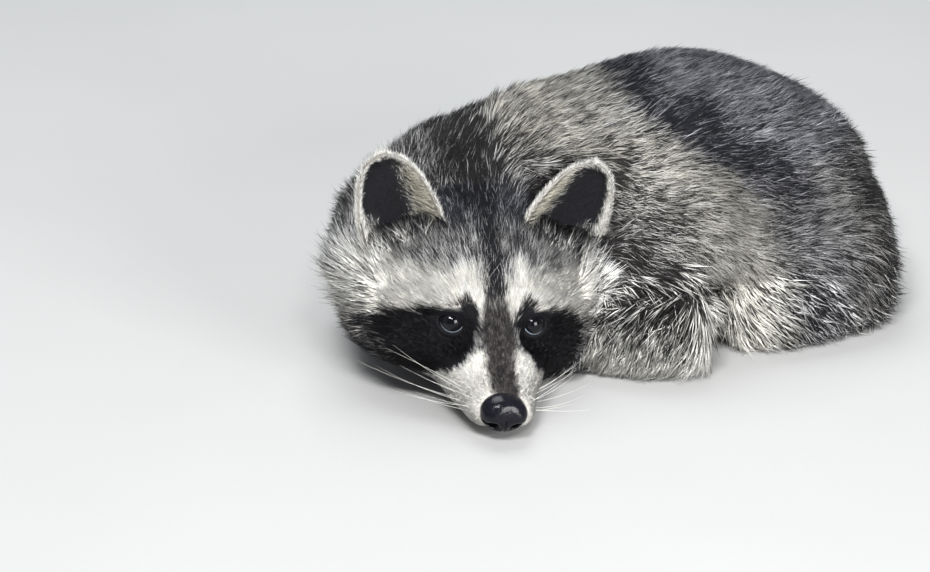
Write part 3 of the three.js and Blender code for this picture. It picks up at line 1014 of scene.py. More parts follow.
        self.root[on] = mix(mix(self.root[on], root, head), SOOT * 0.7, mask)
        self.even[on] = self.even[on] * (1 - head) + head * (0.85 - 0.45 * bright)

    def legs(self) -> None:
        """Dark paws, grizzled over the heel and the instep."""
        on = self.region == Region.PAW
        heel = smooth(6.0, 12.0, self.points[on, 2])
        self.share[on] = 0.22 + 0.18 * heel
        self.pale[on] = mix(PALE * 0.55, PALE, heel)
        self.root[on] = SOOT * 1.5
        self.dark[on] = SOOT * 1.3

    def tail(self) -> None:
        """Dark rings and a dark tip on a pale grey tail."""
        on = self.region == Region.TAIL
        t, _ = self.flesh.tail.chart(self.points[on])
        wave = np.cos(2 * math.pi * (t * 6.2 + 0.08)) + 0.25 * noise(self.points[on], 8.0, 31)
        ring = smooth(0.05, 0.5, wave)
        ring = np.maximum(ring, smooth(0.90, 0.94, t))
        self.share[on] = 0.66 * (1 - ring) + 0.06
        self.pale[on] = mix(PALE, STRAW, 0.35)
        self.dark[on] = SOOT * 1.4

    def ears(self) -> None:
        """Cream rims, dark hollow with pale hair at its inner edge, grey back."""
        on = self.region == Region.EAR
        across, up, inside = self.ear_across[on], self.ear_up[on], self.ear_inside[on]
        rim = np.minimum(across, 1.0 - across)
        edge = smooth(0.07, 0.02, rim) + smooth(0.93, 0.985, up)
        inner = smooth(0.38, 0.06, across) * smooth(1.0, 0.6, up)
        foot = smooth(0.70, 0.92, across) * smooth(0.36, 0.10, up)
        pale = np.clip(edge + inside * (inner + foot), 0, 1)
        self.share[on] = np.where(inside > 0.5, 0.96 * pale, 0.25 + 0.72 * np.clip(edge, 0, 1))
        self.even[on] = 0.45
        self.pale[on] = mix(CREAM, STRAW, np.clip(inner * inside, 0, 1))
        self.dark[on] = np.where(inside[:, None] > 0.5, SOOT * 0.5, SOOT * 2.0)
        self.root[on] = mix(SOOT * 0.8, UNDER_PALE, 0.7 * np.clip(edge, 0, 1))

    def skin(self) -> Array:
        """The colour of the short underfur on the skin itself."""
        mean = mix(self.dark, self.pale * 0.8, np.clip(self.share, 0, 1))
        return mix(self.root, mean, 0.25)


# ---- ears ----------------------------------------------------------------------------


@dataclass
class Ear:
    """A rounded, forward facing cup of thin skin: crescent slices up its length."""

    side: int
    length: float = 54.0
    half: float = 22.0
    deep: float = 15.0
    lean: float = 6.0
    levels: int = 30
    steps: int = 26
    wall: float = 2.0
    coat: float = 2.0
    foot: float = -0.30

    @property
    def seat(self) -> Array:
        """Where the ear stands, in the head's axes."""
        return np.array([self.side * 42.0, 50.0, 20.0])

    @property
    def matrix(self) -> Array:
        """The ear's turn in the head: twisted, leaned back, then splayed."""
        return turn(1, self.side * 15.0) @ turn(0, -14.0) @ turn(2, self.side * -3.0)

    def to_world(self, local: Array) -> Array:
        """Points in the ear's own axes, z up its length and -y out of its hollow."""
        return HEAD.to_world(local @ self.matrix.T + self.seat)

    def to_local(self, world: Array) -> Array:
        """Points of this file in the ear's own axes."""
        return (HEAD.to_local(world) - self.seat) @ self.matrix

    def holds(self, world: Array) -> Array:
        """Which points lie in the cup or just in front of it, clear of its foot."""
        across, ahead, up = self.to_local(world).T
        rise = np.clip(up / self.length, 0.0, 1.0)
        wide = self.half * np.sqrt(1 - rise**2.6) + 4.0
        aside = np.clip(np.abs(across - self.side * self.lean * rise) / wide, 0.0, 1.0)
        back = self.deep * (1 - 0.7 * rise) * (np.sqrt(1 - aside**2) - 0.3)
        return (aside < 1) & (ahead > -18.0) & (ahead < back) & (up > 9.0) & (up < 60.0)

    def build(self) -> tuple[tuple[Array, Array], dict[str, Array]]:
        """Makes the cup: half width shrinks as sqrt(1 - t^2.6), depth as 1 - 0.7 t.

        Returns:
            Its shape, and for each vertex its place across and up the ear and whether it
            is in the hollow.
        """
        t = np.linspace(self.foot, 1.0, self.levels)
        rise = np.clip(t, 0.0, 1.0)
        half = self.half * np.sqrt(1 - rise**2.6) * (1 - 0.1 * rise) + 3.0 - self.coat
        half = half * (1 + 0.5 * np.minimum(t, 0.0))
        cup = self.deep * (1 - 0.7 * rise)
        lean = self.side * self.lean * t
        angle = np.linspace(0.0, math.pi, self.steps)
        wave = 0.5 * np.sin(angle * 3.0)

        def arc(width: Array, depth: Array) -> Array:
            """One wall's points: width cos a across, depth sin a back, t up."""
            x = lean[:, None] + width[:, None] * np.cos(angle)
            y = depth[:, None] * np.sin(angle) - 0.4 * cup[:, None] + wave
            z = np.broadcast_to((self.length - 2.2 * self.coat) * t[:, None], x.shape)
            return np.stack([x, y, z], axis=-1)

        inner = arc(half - 0.8, cup - self.wall)[:, ::-1]
        verts, faces = closed_tube(np.concatenate([arc(half, cup), inner], axis=1))
        share = (1 + np.cos(angle)) / 2 if self.side > 0 else (1 - np.cos(angle)) / 2
        across = np.tile(np.concatenate([share, share[::-1]]), len(t))
        inside = np.tile(np.repeat([0.0, 1.0], self.steps), len(t))
        up = np.repeat(t, 2 * self.steps)
        facts = {
            "across": np.concatenate([across, [0.5, 0.5]]),
            "up": np.concatenate([up, [self.foot, 1.0]]),
            "inside": np.concatenate([inside, [0.0, 0.0]]),
        }
        return outward((self.to_world(verts), faces)), facts


def vertex_normals(verts: Array, faces: Array) -> Array:
    """The mean direction of the faces round each vertex, weighted by their area."""
    a, b, c = (verts[faces[:, k]] for k in range(3))
    normal = np.cross(b - a, c - a)
    total = np.zeros_like(verts)
    for k in range(3):
        for axis in range(3):
            total[:, axis] += np.bincount(faces[:, k], normal[:, axis], len(verts))
    return unit(total)


# ---- the skin and how the coat lies on it ----------------------------------------------

EYE_CENTRE = np.array([22.0, 3.6, -0.5])
EYE_RADIUS = 8.4
GAZE = np.array([-0.16, -0.82, 0.55])  # of the eye on the animal's right; the left one mirrors it
NOSE_CENTRE = np.array([-1.4, -48.5, -20.6])
NOSE_SIZES = np.array([12.4, 8.6, 9.8])
FLESH_NODES = (
    "head", "muzzle", "jaw", "neck", "chest", "belly", "rump",
    "tail_root", "tail_fore", "tail_aft", "tail_tip",
    "ear_left", "ear_right",
    *LEG_ROWS,
    *(paw.name for paw in PAWS),
)  # fmt: skip


# Tables of two rows for np.interp, in millimetres: the hair's length by height on the face;
# what the cheeks add by place across them, fanned on the animal's left and swept back on its
# right; its length along a leg; and a lock's width by its length.
FACE_LENGTH = ((-45, -28, -14, 0, 10, 22, 60, 90), (2.2, 3.0, 4.0, 5.2, 6.6, 8.5, 11, 13))
CHEEK_FANNED = ((24, 38, 50, 60, 68), (0, 2.5, 8, 11.5, 13))
CHEEK_SWEPT = ((24, 38, 50, 60, 68), (0, 2.5, 7.5, 13, 16))
LEG_LENGTH = ((0, 0.5, 1), (21, 19, 10))
LOCK_WIDTH = ((2.5, 6, 12, 20, 30), (0.34, 0.46, 0.70, 0.80, 0.90))
HEAD_THINNING = ((6, 14), (1.0, 0.68))  # of the width, by length
EAR_THINNING = 0.75
FLOW_REACH, FLOW_LEAST, FLOW_FADE = 24.0, -6.0, 7.0  # how far from a form its heading counts
CHART_SPAN = 0.97  # how much of its room on the unrolled skin each form fills


def eye_axis(side: int) -> Array:
    """The way an eye looks, in the head's axes."""
    return unit(GAZE * np.array([-side, 1.0, 1.0]))


@dataclass
class Pelt:
    """The skin as one mesh, and at each of its points how the coat grows there."""

    flesh: Flesh

    def __post_init__(self) -> None:
        """Joins the body's surface and the ears, then works out the coat's lie."""
        shells, facts = [self.flesh.surface()], []
        self.body = len(shells[0][0])
        for side in (-1, 1):
            ear = Ear(side)
            shell, fact = ear.build()
            shells.append(shell)
            root = ear.to_world(np.zeros((1, 3)))
            ways = {"rise": UPWARDS[None], "out": np.array([[side, 0.0, 0.0]])}
            for key, way in ways.items():
                fact[key] = np.tile(ear.to_world(way) - root, (len(shell[0]), 1))
            facts.append(fact)
        self.verts, self.faces = joined(shells)
        self.normals = vertex_normals(self.verts, self.faces)
        count = len(self.verts)
        self.ear = {}
        for key, table in facts[0].items():
            none = np.zeros((self.body, *table.shape[1:]))
            self.ear[key] = np.concatenate([none, *(fact[key] for fact in facts)])
        self.region = np.full(count, Region.EAR)
        self.local = HEAD.to_local(self.verts)
        self.chart = np.zeros((count, 2))
        self.find_regions()
        self.marks = Markings(
            self.flesh, self.verts, self.region,
            self.ear["across"], self.ear["up"], self.ear["inside"],
        )  # fmt: skip
        self.set_lengths()

    def find_regions(self) -> None:
        """Gives each point of the body its region, unrolled place and the coat's heading."""
        verts = self.verts[: self.body]
        best = np.full(self.body, np.inf)
        region = np.zeros(self.body, int)
        flow = np.zeros((self.body, 3))
        self.leg_run = np.zeros(len(self.verts))
        kinds = [kind for _, kind in self.flesh.forms]
        trunk = self.flesh.trunk.heading(verts)
        for number, (loft, kind) in enumerate(self.flesh.forms):
            value = loft.distance(verts)
            near = value < FLOW_REACH
            weight = np.exp(-np.maximum(value[near], FLOW_LEAST) / FLOW_FADE)[:, None]
            if kind is Region.HEAD:
                flow[near] += weight * self.face_heading(self.local[: self.body][near])
            elif kind in (Region.HAUNCH, Region.LEG):
                own = loft.heading(verts[near])
                along_leg = 0.25 if kind is Region.HAUNCH else 0.55
                flow[near] += weight * ((1 - along_leg) * trunk[near] + along_leg * own)
            else:
                flow[near] += weight * loft.heading(verts[near])
            closer = np.nonzero(value < best)[0]
            best[closer] = value[closer]
            region[closer] = kind
            run, round_ = loft.chart(verts[closer])
            before, alike = kinds[:number].count(kind), kinds.count(kind)
            place = (before + CHART_SPAN * run) / alike
            self.chart[closer] = np.stack([place, round_], axis=1)
            self.leg_run[closer] = run
        self.region[: self.body] = region
        normals = self.normals[: self.body]
        low = smooth(112.0, 40.0, verts[:, 2])
        soft = np.isin(region, (*HIDE, Region.LEG))
        hang = np.where(soft, 0.22 + 0.62 * low, 0.0)
        hang = hang + np.where(region == Region.TAIL, 0.10, 0.0)
        hang = hang[:, None] * UPWARDS * smooth(1.0, 0.3, np.abs(normals[:, 2]))[:, None]
        flow = unit(flow) - hang
        full = np.zeros_like(self.verts)
        full[: self.body] = flow
        inside, rise, out = (self.ear[key][self.body :] for key in ("inside", "rise", "out"))
        full[self.body :] = rise + inside[:, None] * 0.45 * out
        full += 0.16 * noise_vector(self.verts, 17.0, 51) + 0.10 * noise_vector(self.verts, 6.0, 61)
        full -= dot(full, self.normals)[:, None] * self.normals
        self.flow = unit(full)
        head = self.region == Region.HEAD
        away = unit(self.local[head] - np.array([0.0, 25.0, -12.0]))
        angle = np.arccos(np.clip(-away[:, 1], -1, 1))
        round_ = np.arctan2(away[:, 2], away[:, 0])
        self.chart[head] = np.stack([angle * np.cos(round_), angle * np.sin(round_)], axis=1)
        ear = self.region == Region.EAR
        self.chart[ear, 0] = (self.ear["across"][ear] + self.ear["inside"][ear]) / 2
        self.chart[ear, 1] = self.ear["up"][ear]

    def face_heading(self, local: Array) -> Array:
        """Hair on the head runs away from the nose, and outwards over brows and cheeks."""
        run = unit(local - np.array([0.0, -56.0, -24.0]))
        out = np.abs(local[:, 0])
        up = face_height(local)
        brow = smooth(14.0, 26.0, out) * bump(12.0, 16.0, up)
        cheek = smooth(26.0, 55.0, out) * smooth(10.0, -15.0, local[:, 2])
        run[:, 0] += np.sign(local[:, 0]) * (0.75 * brow + 0.35 * cheek)
        run[:, 2] -= 0.35 * cheek
        return run @ HEAD.matrix.T

    def set_lengths(self) -> None:
        """Sets the length, lift, width and share of cover of the locks at each point."""
        v, local = self.verts, self.local
        out = np.abs(local[:, 0])
        up = face_height(local)
        region = self.region
        low = smooth(58.0, 26.0, v[:, 2])
        hip = smooth(165.0, 200.0, v[:, 0])
        length = 12.5 + (10.0 - 7.0 * hip) * low
        lift = 18.0 + 7.0 * low - 7.0 * hip
        self.curl = np.full(len(v), 0.55)
        layers = np.full(len(v), 1.0)

        face = np.interp(up, *FACE_LENGTH)
        fanned, swept = np.interp(out, *CHEEK_FANNED), np.interp(out, *CHEEK_SWEPT)
        cheek = np.where(local[:, 0] > 0, fanned, swept) * smooth(-12.0, 24.0, local[:, 1])
        cheek *= 1.0 - 0.7 * smooth(6.0, 22.0, local[:, 2])
        jaw = smooth(-26.0, -40.0, local[:, 2]) * smooth(-20.0, 40.0, local[:, 1]) * 8.0
        snout = smooth(-8.0, -26.0, local[:, 1])
        face = face * (1 - snout) + snout * np.minimum(face, 3.0)
        head_length = face + cheek + jaw
        is_head = region == Region.HEAD
        back = smooth(62.0, 84.0, local[:, 1])
        length[is_head] = (head_length * (1 - back) + 15.0 * back)[is_head]
        long = smooth(14.0, 22.0, head_length)
        lift[is_head] = (12.0 + 9.0 * smooth(7.0, 14.0, head_length) + 12.0 * long)[is_head]
        self.curl[is_head] = (0.5 - 0.25 * long)[is_head]
        ear = region == Region.EAR
        for side in (-1, 1):
            spot = Ear(side).to_local(v)
            behind = egg(spot - np.array([0.0, 4.0, 6.0]), (27.0, 12.0, 22.0))
            front = egg(spot - np.array([0.0, -13.0, 0.0]), (23.0, 9.0, 13.0))
            length *= np.where(ear, 1.0, 1.0 - 0.6 * behind)
            length += np.where(ear, 0.0, 7.0 * front)
            lift += np.where(ear, 0.0, 14.0 * front)

        is_neck = region == Region.NECK
        length[is_neck] = (12.0 + 8.0 * low)[is_neck]
        lift[is_neck] = 21.0
        is_tail = region == Region.TAIL
        length[is_tail] = 21.0
        lift[is_tail] = 29.0
        is_leg = region == Region.LEG
        length[is_leg] = np.interp(self.leg_run[is_leg], *LEG_LENGTH)
        lift[is_leg] = 20.0
        is_paw = region == Region.PAW
        heel = smooth(6.0, 12.0, v[is_paw, 2])
        length[is_paw] = 4.2 + 8.0 * heel
        lift[is_paw] = 13.0 + 8.0 * heel
        length += 1.6 * noise(v, 14.0, 71) * smooth(8.0, 16.0, length)

        across, rise, inside = self.ear["across"], self.ear["up"], self.ear["inside"]
        edge = np.minimum(across, 1 - across)
        rim = np.clip(smooth(0.10, 0.03, edge) + smooth(0.90, 0.98, rise), 0, 1)
        inner = inside * smooth(0.34, 0.12, across)
        outer = inside * smooth(0.70, 0.92, across) * smooth(0.4, 0.1, rise)
        ear_length = 3.6 + 1.0 * rim + 5.0 * inner * smooth(0.95, 0.4, rise) + 4.0 * outer
        length[ear] = ear_length[ear]
        lift[ear] = (15.0 + 26.0 * rim + 10.0 * inner)[ear]
        layers[ear] = (1.0 - 0.55 * inside * (1 - np.clip(inner + rim, 0, 1)))[ear]

        layers *= 1.0 - 0.85 * smooth(-0.55, -0.85, self.normals[:, 2]) * smooth(14.0, 6.0, v[:, 2])
        layers *= 1.0 - 0.40 * smooth(150.0, 190.0, v[:, 1]) * smooth(0.2, 0.7, self.normals[:, 1])
        layers *= self.bare(local)
        self.length = length
        self.lift = np.radians(lift)
        self.width = np.interp(length, *LOCK_WIDTH)
        self.width[is_head] *= np.interp(length[is_head], *HEAD_THINNING)
        self.width[ear] *= EAR_THINNING
        self.density = layers / (length * self.width)

    def bare(self, local: Array) -> Array:
        """Nothing grows on the lids, under the nose pad or inside the ears' roots."""
        keep = np.ones(len(local))
        for side in (-1, 1):
            centre = EYE_CENTRE * np.array([side, 1, 1])
            axis = eye_axis(side)
            away = local - centre
            ahead = away @ axis
            round_ = np.linalg.norm(away - ahead[:, None] * axis, axis=1)
            keep *= np.where((ahead > -2) & (ahead < 16), smooth(7.6, 8.8, round_), 1.0)
        pad = np.linalg.norm((local - NOSE_CENTRE) / (NOSE_SIZES + 1.0), axis=1)
        keep *= smooth(0.98, 1.06, pad)
        ear = self.region == Region.EAR
        for side in (-1, 1):
            keep[Ear(side).holds(self.verts) & ~ear] = 0.0
        keep[ear & (self.ear["up"] < -0.02)] = 0.0
        return keep

    def dress(self, finish: "Finish") -> bpy.types.Object:
        """Makes the skin piece, with its lids, in the colours of the short underfur."""
        lids = [EyeLid(side).build() for side in (-1, 1)]
        shape = joined([(self.verts, self.faces), *lids])
        bare = np.tile(SOOT * 0.6, (len(shape[0]) - len(self.verts), 1))
        colours = np.concatenate([self.marks.skin(), bare])
        return make_piece("skin", shape, colours, finish.build(), "body_fur", FLESH_NODES)


# ---- the coat ------------------------------------------------------------------------


class Zone(Enum):
    """Which places of its regions a part of the coat covers."""

    ALL = "all"
    FACE = "face"
    SHORT = "short"
    LONG = "long"


@dataclass(frozen=True)
class CoatPart:
    """One part of the coat: where it grows, how many locks it has and how they are cut."""

    name: str
    slot: str
    regions: tuple[Region, ...]
    zone: Zone
    rings: int
    locks: int
    clump: float
    pull: float
    stray: float


COAT_PARTS = (
    CoatPart("coat_face", "face_white", (Region.HEAD,), Zone.FACE, 1, 56_000, 1.9, 0.40, 7.0),
    CoatPart("coat_crown", "body_fur", (Region.HEAD,), Zone.SHORT, 1, 26_000, 2.4, 0.50, 9.0),
    CoatPart("coat_ruff", "face_white", (Region.HEAD,), Zone.LONG, 2, 10_000, 3.0, 0.40, 11.0),
    CoatPart("coat_ears", "ear_fur", (Region.EAR,), Zone.ALL, 1, 26_000, 2.0, 0.30, 14.0),
    CoatPart("coat_neck", "body_fur", (Region.NECK,), Zone.SHORT, 1, 28_000, 2.4, 0.60, 9.0),
    CoatPart("coat_trunk", "body_fur", (Region.TRUNK,), Zone.SHORT, 1, 95_000, 2.4, 0.60, 9.0),
    CoatPart("coat_haunch", "leg_fur", (Region.HAUNCH,), Zone.SHORT, 1, 22_000, 2.4, 0.60, 9.0),
    CoatPart("coat_fringe", "body_fur", HIDE, Zone.LONG, 2, 17_000, 4.0, 0.5, 9.0),
    CoatPart("coat_tail", "tail_fur", (Region.TAIL,), Zone.ALL, 2, 11_000, 5.5, 0.42, 10.0),
    CoatPart("coat_legs", "leg_fur", (Region.LEG,), Zone.ALL, 2, 6_500, 3.2, 0.50, 10.0),
    CoatPart("coat_paws", "paw_fur", (Region.PAW,), Zone.ALL, 1, 9_000, 2.0, 0.30, 8.0),
)
LONG_LOCK = 15.0
FACE_TOP, FACE_BACK = 24.0, 34.0  # the end of the face: up its chart, and back in the head
PIECE_TRIANGLES = 188_000
PATCH = 0.003  # a lock's patch as a share of the unrolled skin
CHART_STEP = 1.05  # how far apart the regions of one piece are unrolled
LOWEST_ROOT, LOWEST_POINT = 0.3, 0.7  # over the ground: a lock's walls, and its middle line
ROOT_DEPTH = 0.4  # how far a lock is sunk into the skin
CLUMP_SALT, SPOT_SALT = 301, 401  # the patterns of the clumps' moods, and of their places
CLUMP_STRAY = 3.2  # a clump's own turn, in the part's stray angles
CLUMP_CONTRAST = 3.4  # how far a clump's locks are pale or dark together
CLUMP_TONE = 0.9  # how far a clump's locks are bright or dull together
CLEAR, CLEAR_SHARE = 0.25, 0.5  # how far a lock keeps off the skin, and its height's share
STIFF_LIFT, STIFF_CURL = 0.72, 0.3  # a lock of one ring, which can't bend, lies lower instead
LOCK_FLAT = 0.7  # a lock's thickness as a share of its width


@dataclass(frozen=True)
class Cut:
    """The rings of a lock: how far along it each is, how thick, and how near the tip's colour."""

    places: tuple[float, ...]
    girths: tuple[float, ...]
    tints: tuple[float, ...]

    @property
    def rings(self) -> int:
        """The rings of three points that the lock has before its tip."""
        return len(self.places) - 1

    @property
    def triangles(self) -> int:
        """Triangles in one closed lock: a cap, the walls and the tip."""
        return 6 * self.rings - 2


CUTS = {
    1: Cut((0.0, 1.0), (1.0, 0.0), (0.14, 1.0)),
    2: Cut((0.0, 0.45, 1.0), (0.8, 1.0, 0.0), (0.0, 0.8, 1.0)),
}


@dataclass(frozen=True)
class Roots:
    """Where locks stand: each one's triangle of the skin, and its shares of the corners."""

    pelt: Pelt
    face: Array
    share: Array

    @property
    def corners(self) -> Array:
        """The skin's points at the corners of each root's triangle."""
        return self.pelt.faces[self.face]

    def some(self, chosen: Array) -> "Roots":
        """The chosen roots only."""
        return Roots(self.pelt, self.face[chosen], self.share[chosen])

    def at(self, table: Array) -> Array:
        """What a table holds for the skin's points, blended to each root."""
        picked = table[self.corners]
        weights = self.share if picked.ndim == 2 else self.share[..., None]
        return (picked * weights).sum(axis=1)


@dataclass
class Coat:
    """The whole coat: closed, tapered, three sided locks rooted in the skin."""

    pelt: Pelt

    def __post_init__(self) -> None:
        """Finds each skin triangle's area, how densely it grows, and whether it is on the face."""
        p = self.pelt
        a, b, c = (p.verts[p.faces[:, k]] for k in range(3))
        self.area = np.linalg.norm(np.cross(b - a, c - a), axis=1) / 2
        self.face_density = p.density[p.faces].mean(axis=1)
        self.face_region = p.region[p.faces[:, 0]]
        middle = p.local[p.faces].mean(axis=1)
        self.on_face = (face_height(middle) < FACE_TOP) & (middle[:, 1] < FACE_BACK)
        self.long = p.length[p.faces].mean(axis=1) > LONG_LOCK

    def chosen(self, part: CoatPart) -> Array:
        """The skin triangles that a part of the coat grows on."""
        on = np.isin(self.face_region, part.regions)
        face = self.on_face & ~self.long & (self.face_region == Region.HEAD)
        wanted = {
            Zone.ALL: on,
            Zone.FACE: face,
            Zone.SHORT: ~face & ~self.long,
            Zone.LONG: self.long,
        }
        return on & wanted[part.zone]

    def build(self, finish: "Finish") -> list[bpy.types.Object]:
        """Grows every part and cuts it into pieces small enough to hand on."""
        material = finish.build()
        made = []
        for number, part in enumerate(COAT_PARTS):
            rng = np.random.default_rng(SEED + number)
            roots = self.roots(part, rng)
            triangles = len(roots.face) * CUTS[part.rings].triangles
            pieces = math.ceil(triangles / PIECE_TRIANGLES)
            key = np.argsort(self.order(part, roots), kind="stable")
            for index, chosen in enumerate(np.array_split(key, pieces)):
                name = part.name if pieces == 1 else f"{part.name}_{index + 1}"
                made.append(self.piece(name, part, roots.some(chosen), material, rng))
        return made

    def order(self, part: CoatPart, roots: Roots) -> Array:
        """What a part is cut along: across the face, along the spine elsewhere."""
        if part.regions[0] is Region.HEAD:
            return roots.at(self.pelt.verts)[:, 0]
        return self.pelt.chart[roots.corners[:, 0], 0]

    def roots(self, part: CoatPart, rng: np.random.Generator) -> Roots:
        """Spreads roots evenly: each triangle gets its share, rounded at random."""
        wanted = self.area * self.face_density * self.chosen(part)
        wanted *= part.locks / wanted.sum()
        count = np.floor(wanted + rng.random(len(wanted))).astype(int)
        face = np.repeat(np.arange(len(wanted)), count)
        r, s = np.sqrt(rng.random(len(face))), rng.random(len(face))
        return Roots(self.pelt, face, np.stack([1 - r, r * (1 - s), r * s], axis=1))

    def piece(
        self,
        name: str,
        part: CoatPart,
        roots: Roots,
        material: bpy.types.Material,
        rng: np.random.Generator,
    ) -> bpy.types.Object:
        """Makes one piece of the coat.

        Args:
            name: the piece's name.
            part: the part of the coat that it belongs to.
            roots: where its locks stand.
            material: the fur's finish.
            rng: the part's random numbers.

        Returns:
            The piece.
        """
        cell, centre = clump_of(roots.at(self.pelt.verts), part.clump)
        mood = [hashed(cell, CLUMP_SALT + k) for k in range(5)]
        verts = self.grow(part, roots, centre, mood, rng)
        count, per = verts.shape[:2]
        faces = (np.arange(count)[:, None, None] * per + lock_faces(part.rings)).reshape(-1, 3)
        colours = self.tint(part, roots, mood, rng)
        piece = make_piece(name, (verts.reshape(-1, 3), faces), colours, material, part.slot)
        corner = roots.corners[:, 0]
        chart = self.pelt.chart[corner]
        for index, region in enumerate(part.regions):
            chart[self.pelt.region[corner] == region, 0] += CHART_STEP * index
        self.unwrap(piece.data, chart, part.rings, faces)
        return piece

    def grow(
        self,
        part: CoatPart,
        roots: Roots,
        centre: Array,
        mood: list[Array],
        rng: np.random.Generator,
    ) -> Array:
        """Shapes the locks.

        A lock leaves the skin at its lift, bends back down towards it, and is drawn
        sideways to the middle of its clump: root + L (s cos a) d + L (s sin a - c s^2) n
        + pull s^1.5 (clump - root), for s from 0 to 1.

        Args:
            part: the part of the coat.
            roots: where the locks stand.
            centre: the middle of each lock's clump.
            mood: numbers from 0 to 1 that a clump's locks share.
            rng: the part's random numbers.

        Returns:
            Array of (locks, points, 3): the rings of three, then the tip.
        """
        p, cut, count = self.pelt, CUTS[part.rings], len(roots.face)
        root = roots.at(p.verts)
        normal = unit(roots.at(p.normals))
        flow = roots.at(p.flow)
        flow = unit(flow - dot(flow, normal)[:, None] * normal)
        stray = np.radians(part.stray) * (rng.normal(size=count) + CLUMP_STRAY * (mood[0] - 0.5))
        side = np.cross(normal, flow)
        heading = np.cos(stray)[:, None] * flow + np.sin(stray)[:, None] * side
        side = np.cross(normal, heading)
        length = roots.at(p.length) * np.clip(1 + 0.16 * rng.normal(size=count), 0.5, 1.5)
        length *= 0.88 + 0.24 * mood[1]
        lift = roots.at(p.lift) * (0.65 + 0.5 * rng.random(count) + 0.3 * mood[2])
        width = roots.at(p.width) * (0.75 + 0.5 * rng.random(count))
        bend = 0.07 * rng.normal(size=count)
        draw = centre - root
        draw -= dot(draw, normal)[:, None] * normal
        draw *= part.pull
        curl = roots.at(p.curl)
        if part.rings == 1:
            lift, curl = lift * STIFF_LIFT, curl * STIFF_CURL

        spine = []
        for s in cut.places:
            ahead = length * s * np.cos(lift)
            height = length * np.sin(lift) * (s - curl * s * s) - ROOT_DEPTH * (s == 0)
            point = (
                root
                + ahead[:, None] * heading
                + height[:, None] * normal
                + (length * bend * s * s)[:, None] * side
                + s**1.5 * draw
            )
            if s > 0 and Region.EAR not in part.regions:
                point = self.clear_of_skin(point, CLEAR + CLEAR_SHARE * height * s)
            point[:, 2] = np.maximum(point[:, 2], LOWEST_POINT)
            spine.append(point)
        spine = np.stack(spine, axis=1)
        run = unit(np.gradient(spine, axis=1))
        across = unit(np.cross(normal[:, None, :], run))
        over = np.cross(run, across)
        angle = math.pi / 2 + 2 * math.pi * np.arange(3) / 3
        radius = (width[:, None] / 2 * np.array(cut.girths))[:, :-1, None, None]
        rings = spine[:, :-1, None, :] + radius * (
            np.cos(angle)[:, None] * across[:, :-1, None, :]
            + LOCK_FLAT * np.sin(angle)[:, None] * over[:, :-1, None, :]
        )
        rings[..., 2] = np.maximum(rings[..., 2], LOWEST_ROOT)
        return np.concatenate([rings.reshape(count, -1, 3), spine[:, -1:, :]], axis=1)

    def clear_of_skin(self, points: Array, margin: Array) -> Array:
        """Pushes points out of the flesh until they stand a margin over it."""
        for _ in range(2):
            value = self.pelt.flesh.sample(points)
            slope = unit(self.pelt.flesh.slope(points))
            points = points + np.maximum(margin - value, 0.0)[:, None] * slope
        return points

    def tint(
        self, part: CoatPart, roots: Roots, mood: list[Array], rng: np.random.Generator
    ) -> Array:
        """Colours the locks: each is pale or dark by chance, and darker at its root.

        Args:
            part: the part of the coat.
            roots: where the locks stand.
            mood: numbers from 0 to 1 that a clump's locks share.
            rng: the part's random numbers.

        Returns:
            One colour for each point of each lock.
        """
        marks, count = self.pelt.marks, len(roots.face)
        chance = roots.at(marks.share)
        chance = chance + CLUMP_CONTRAST * chance * (1 - chance) * (mood[3] - 0.5)
        pick = (rng.random(count) < chance)[:, None]
        even = roots.at(marks.even)
        tone = 1.10 - even + (0.2 + even) * rng.random(count)
        tone = (tone * (1 + CLUMP_TONE * even * (mood[4] - 0.5)))[:, None]
        tip = np.where(pick, roots.at(marks.pale) * tone, roots.at(marks.dark) * tone * 1.2)
        base = roots.at(marks.root) * (0.8 + 0.4 * rng.random(count))[:, None]
        *rings, end = (
            mix(base, tip, np.full(count, s))[:, None, :] for s in CUTS[part.rings].tints
        )
        rows = [np.repeat(ring, 3, axis=1) for ring in rings] + [end]
        return np.clip(np.concatenate(rows, axis=1).reshape(-1, 3), 0, 1)

    def unwrap(self, mesh: bpy.types.Mesh, chart: Array, rings: int, faces: Array) -> None:
        """Lays each lock as a small patch at its root's place on the unrolled skin."""
        low, high = chart.min(axis=0), chart.max(axis=0)
        place = 0.01 + 0.98 * (chart - low) / np.maximum(high - low, TINY)
        i, j = np.meshgrid(np.arange(rings), np.arange(3), indexing="ij")
        patch = np.stack([j.ravel() / 3 - 0.33, i.ravel() / rings - 0.5], axis=1)
        patch = np.concatenate([patch, [[0.0, 0.5]]]) * PATCH
        spots = (place[:, None, :] + patch).reshape(-1, 2)
        layer = mesh.uv_layers.new(name="OFBake")
        layer.data.foreach_set("uv", spots[faces.ravel()].astype(np.float32).ravel())


def lock_faces(rings: int) -> Array:
    """The triangles of one lock, facing outwards: its rings of three, then the tip."""
    j = np.arange(3)
    k = (j + 1) % 3
    last = 3 * (rings - 1)
    fan = np.stack([last + j, last + k, np.full(3, 3 * rings)], axis=1)
    return np.concatenate([halves(grid_faces(rings, 3, True)), [[0, 2, 1]], fan])


def clump_of(points: Array, size: float) -> tuple[Array, Array]:
    """The nearest point of a shaken lattice: its cell, and where it is."""
    cell = np.floor(points / size).astype(int)
    best = np.full(len(points), np.inf)
    found = cell.copy()
    place = points.copy()
    for shift in np.ndindex(3, 3, 3):
        near = cell + np.array(shift) - 1
        spot = np.stack([hashed(near, SPOT_SALT + k) for k in range(3)], axis=1)
        spot = (near + spot) * size
        gap = np.linalg.norm(points - spot, axis=1)
        closer = gap < best
        best[closer] = gap[closer]
        found[closer] = near[closer]
        place[closer] = spot[closer]
    return found, place


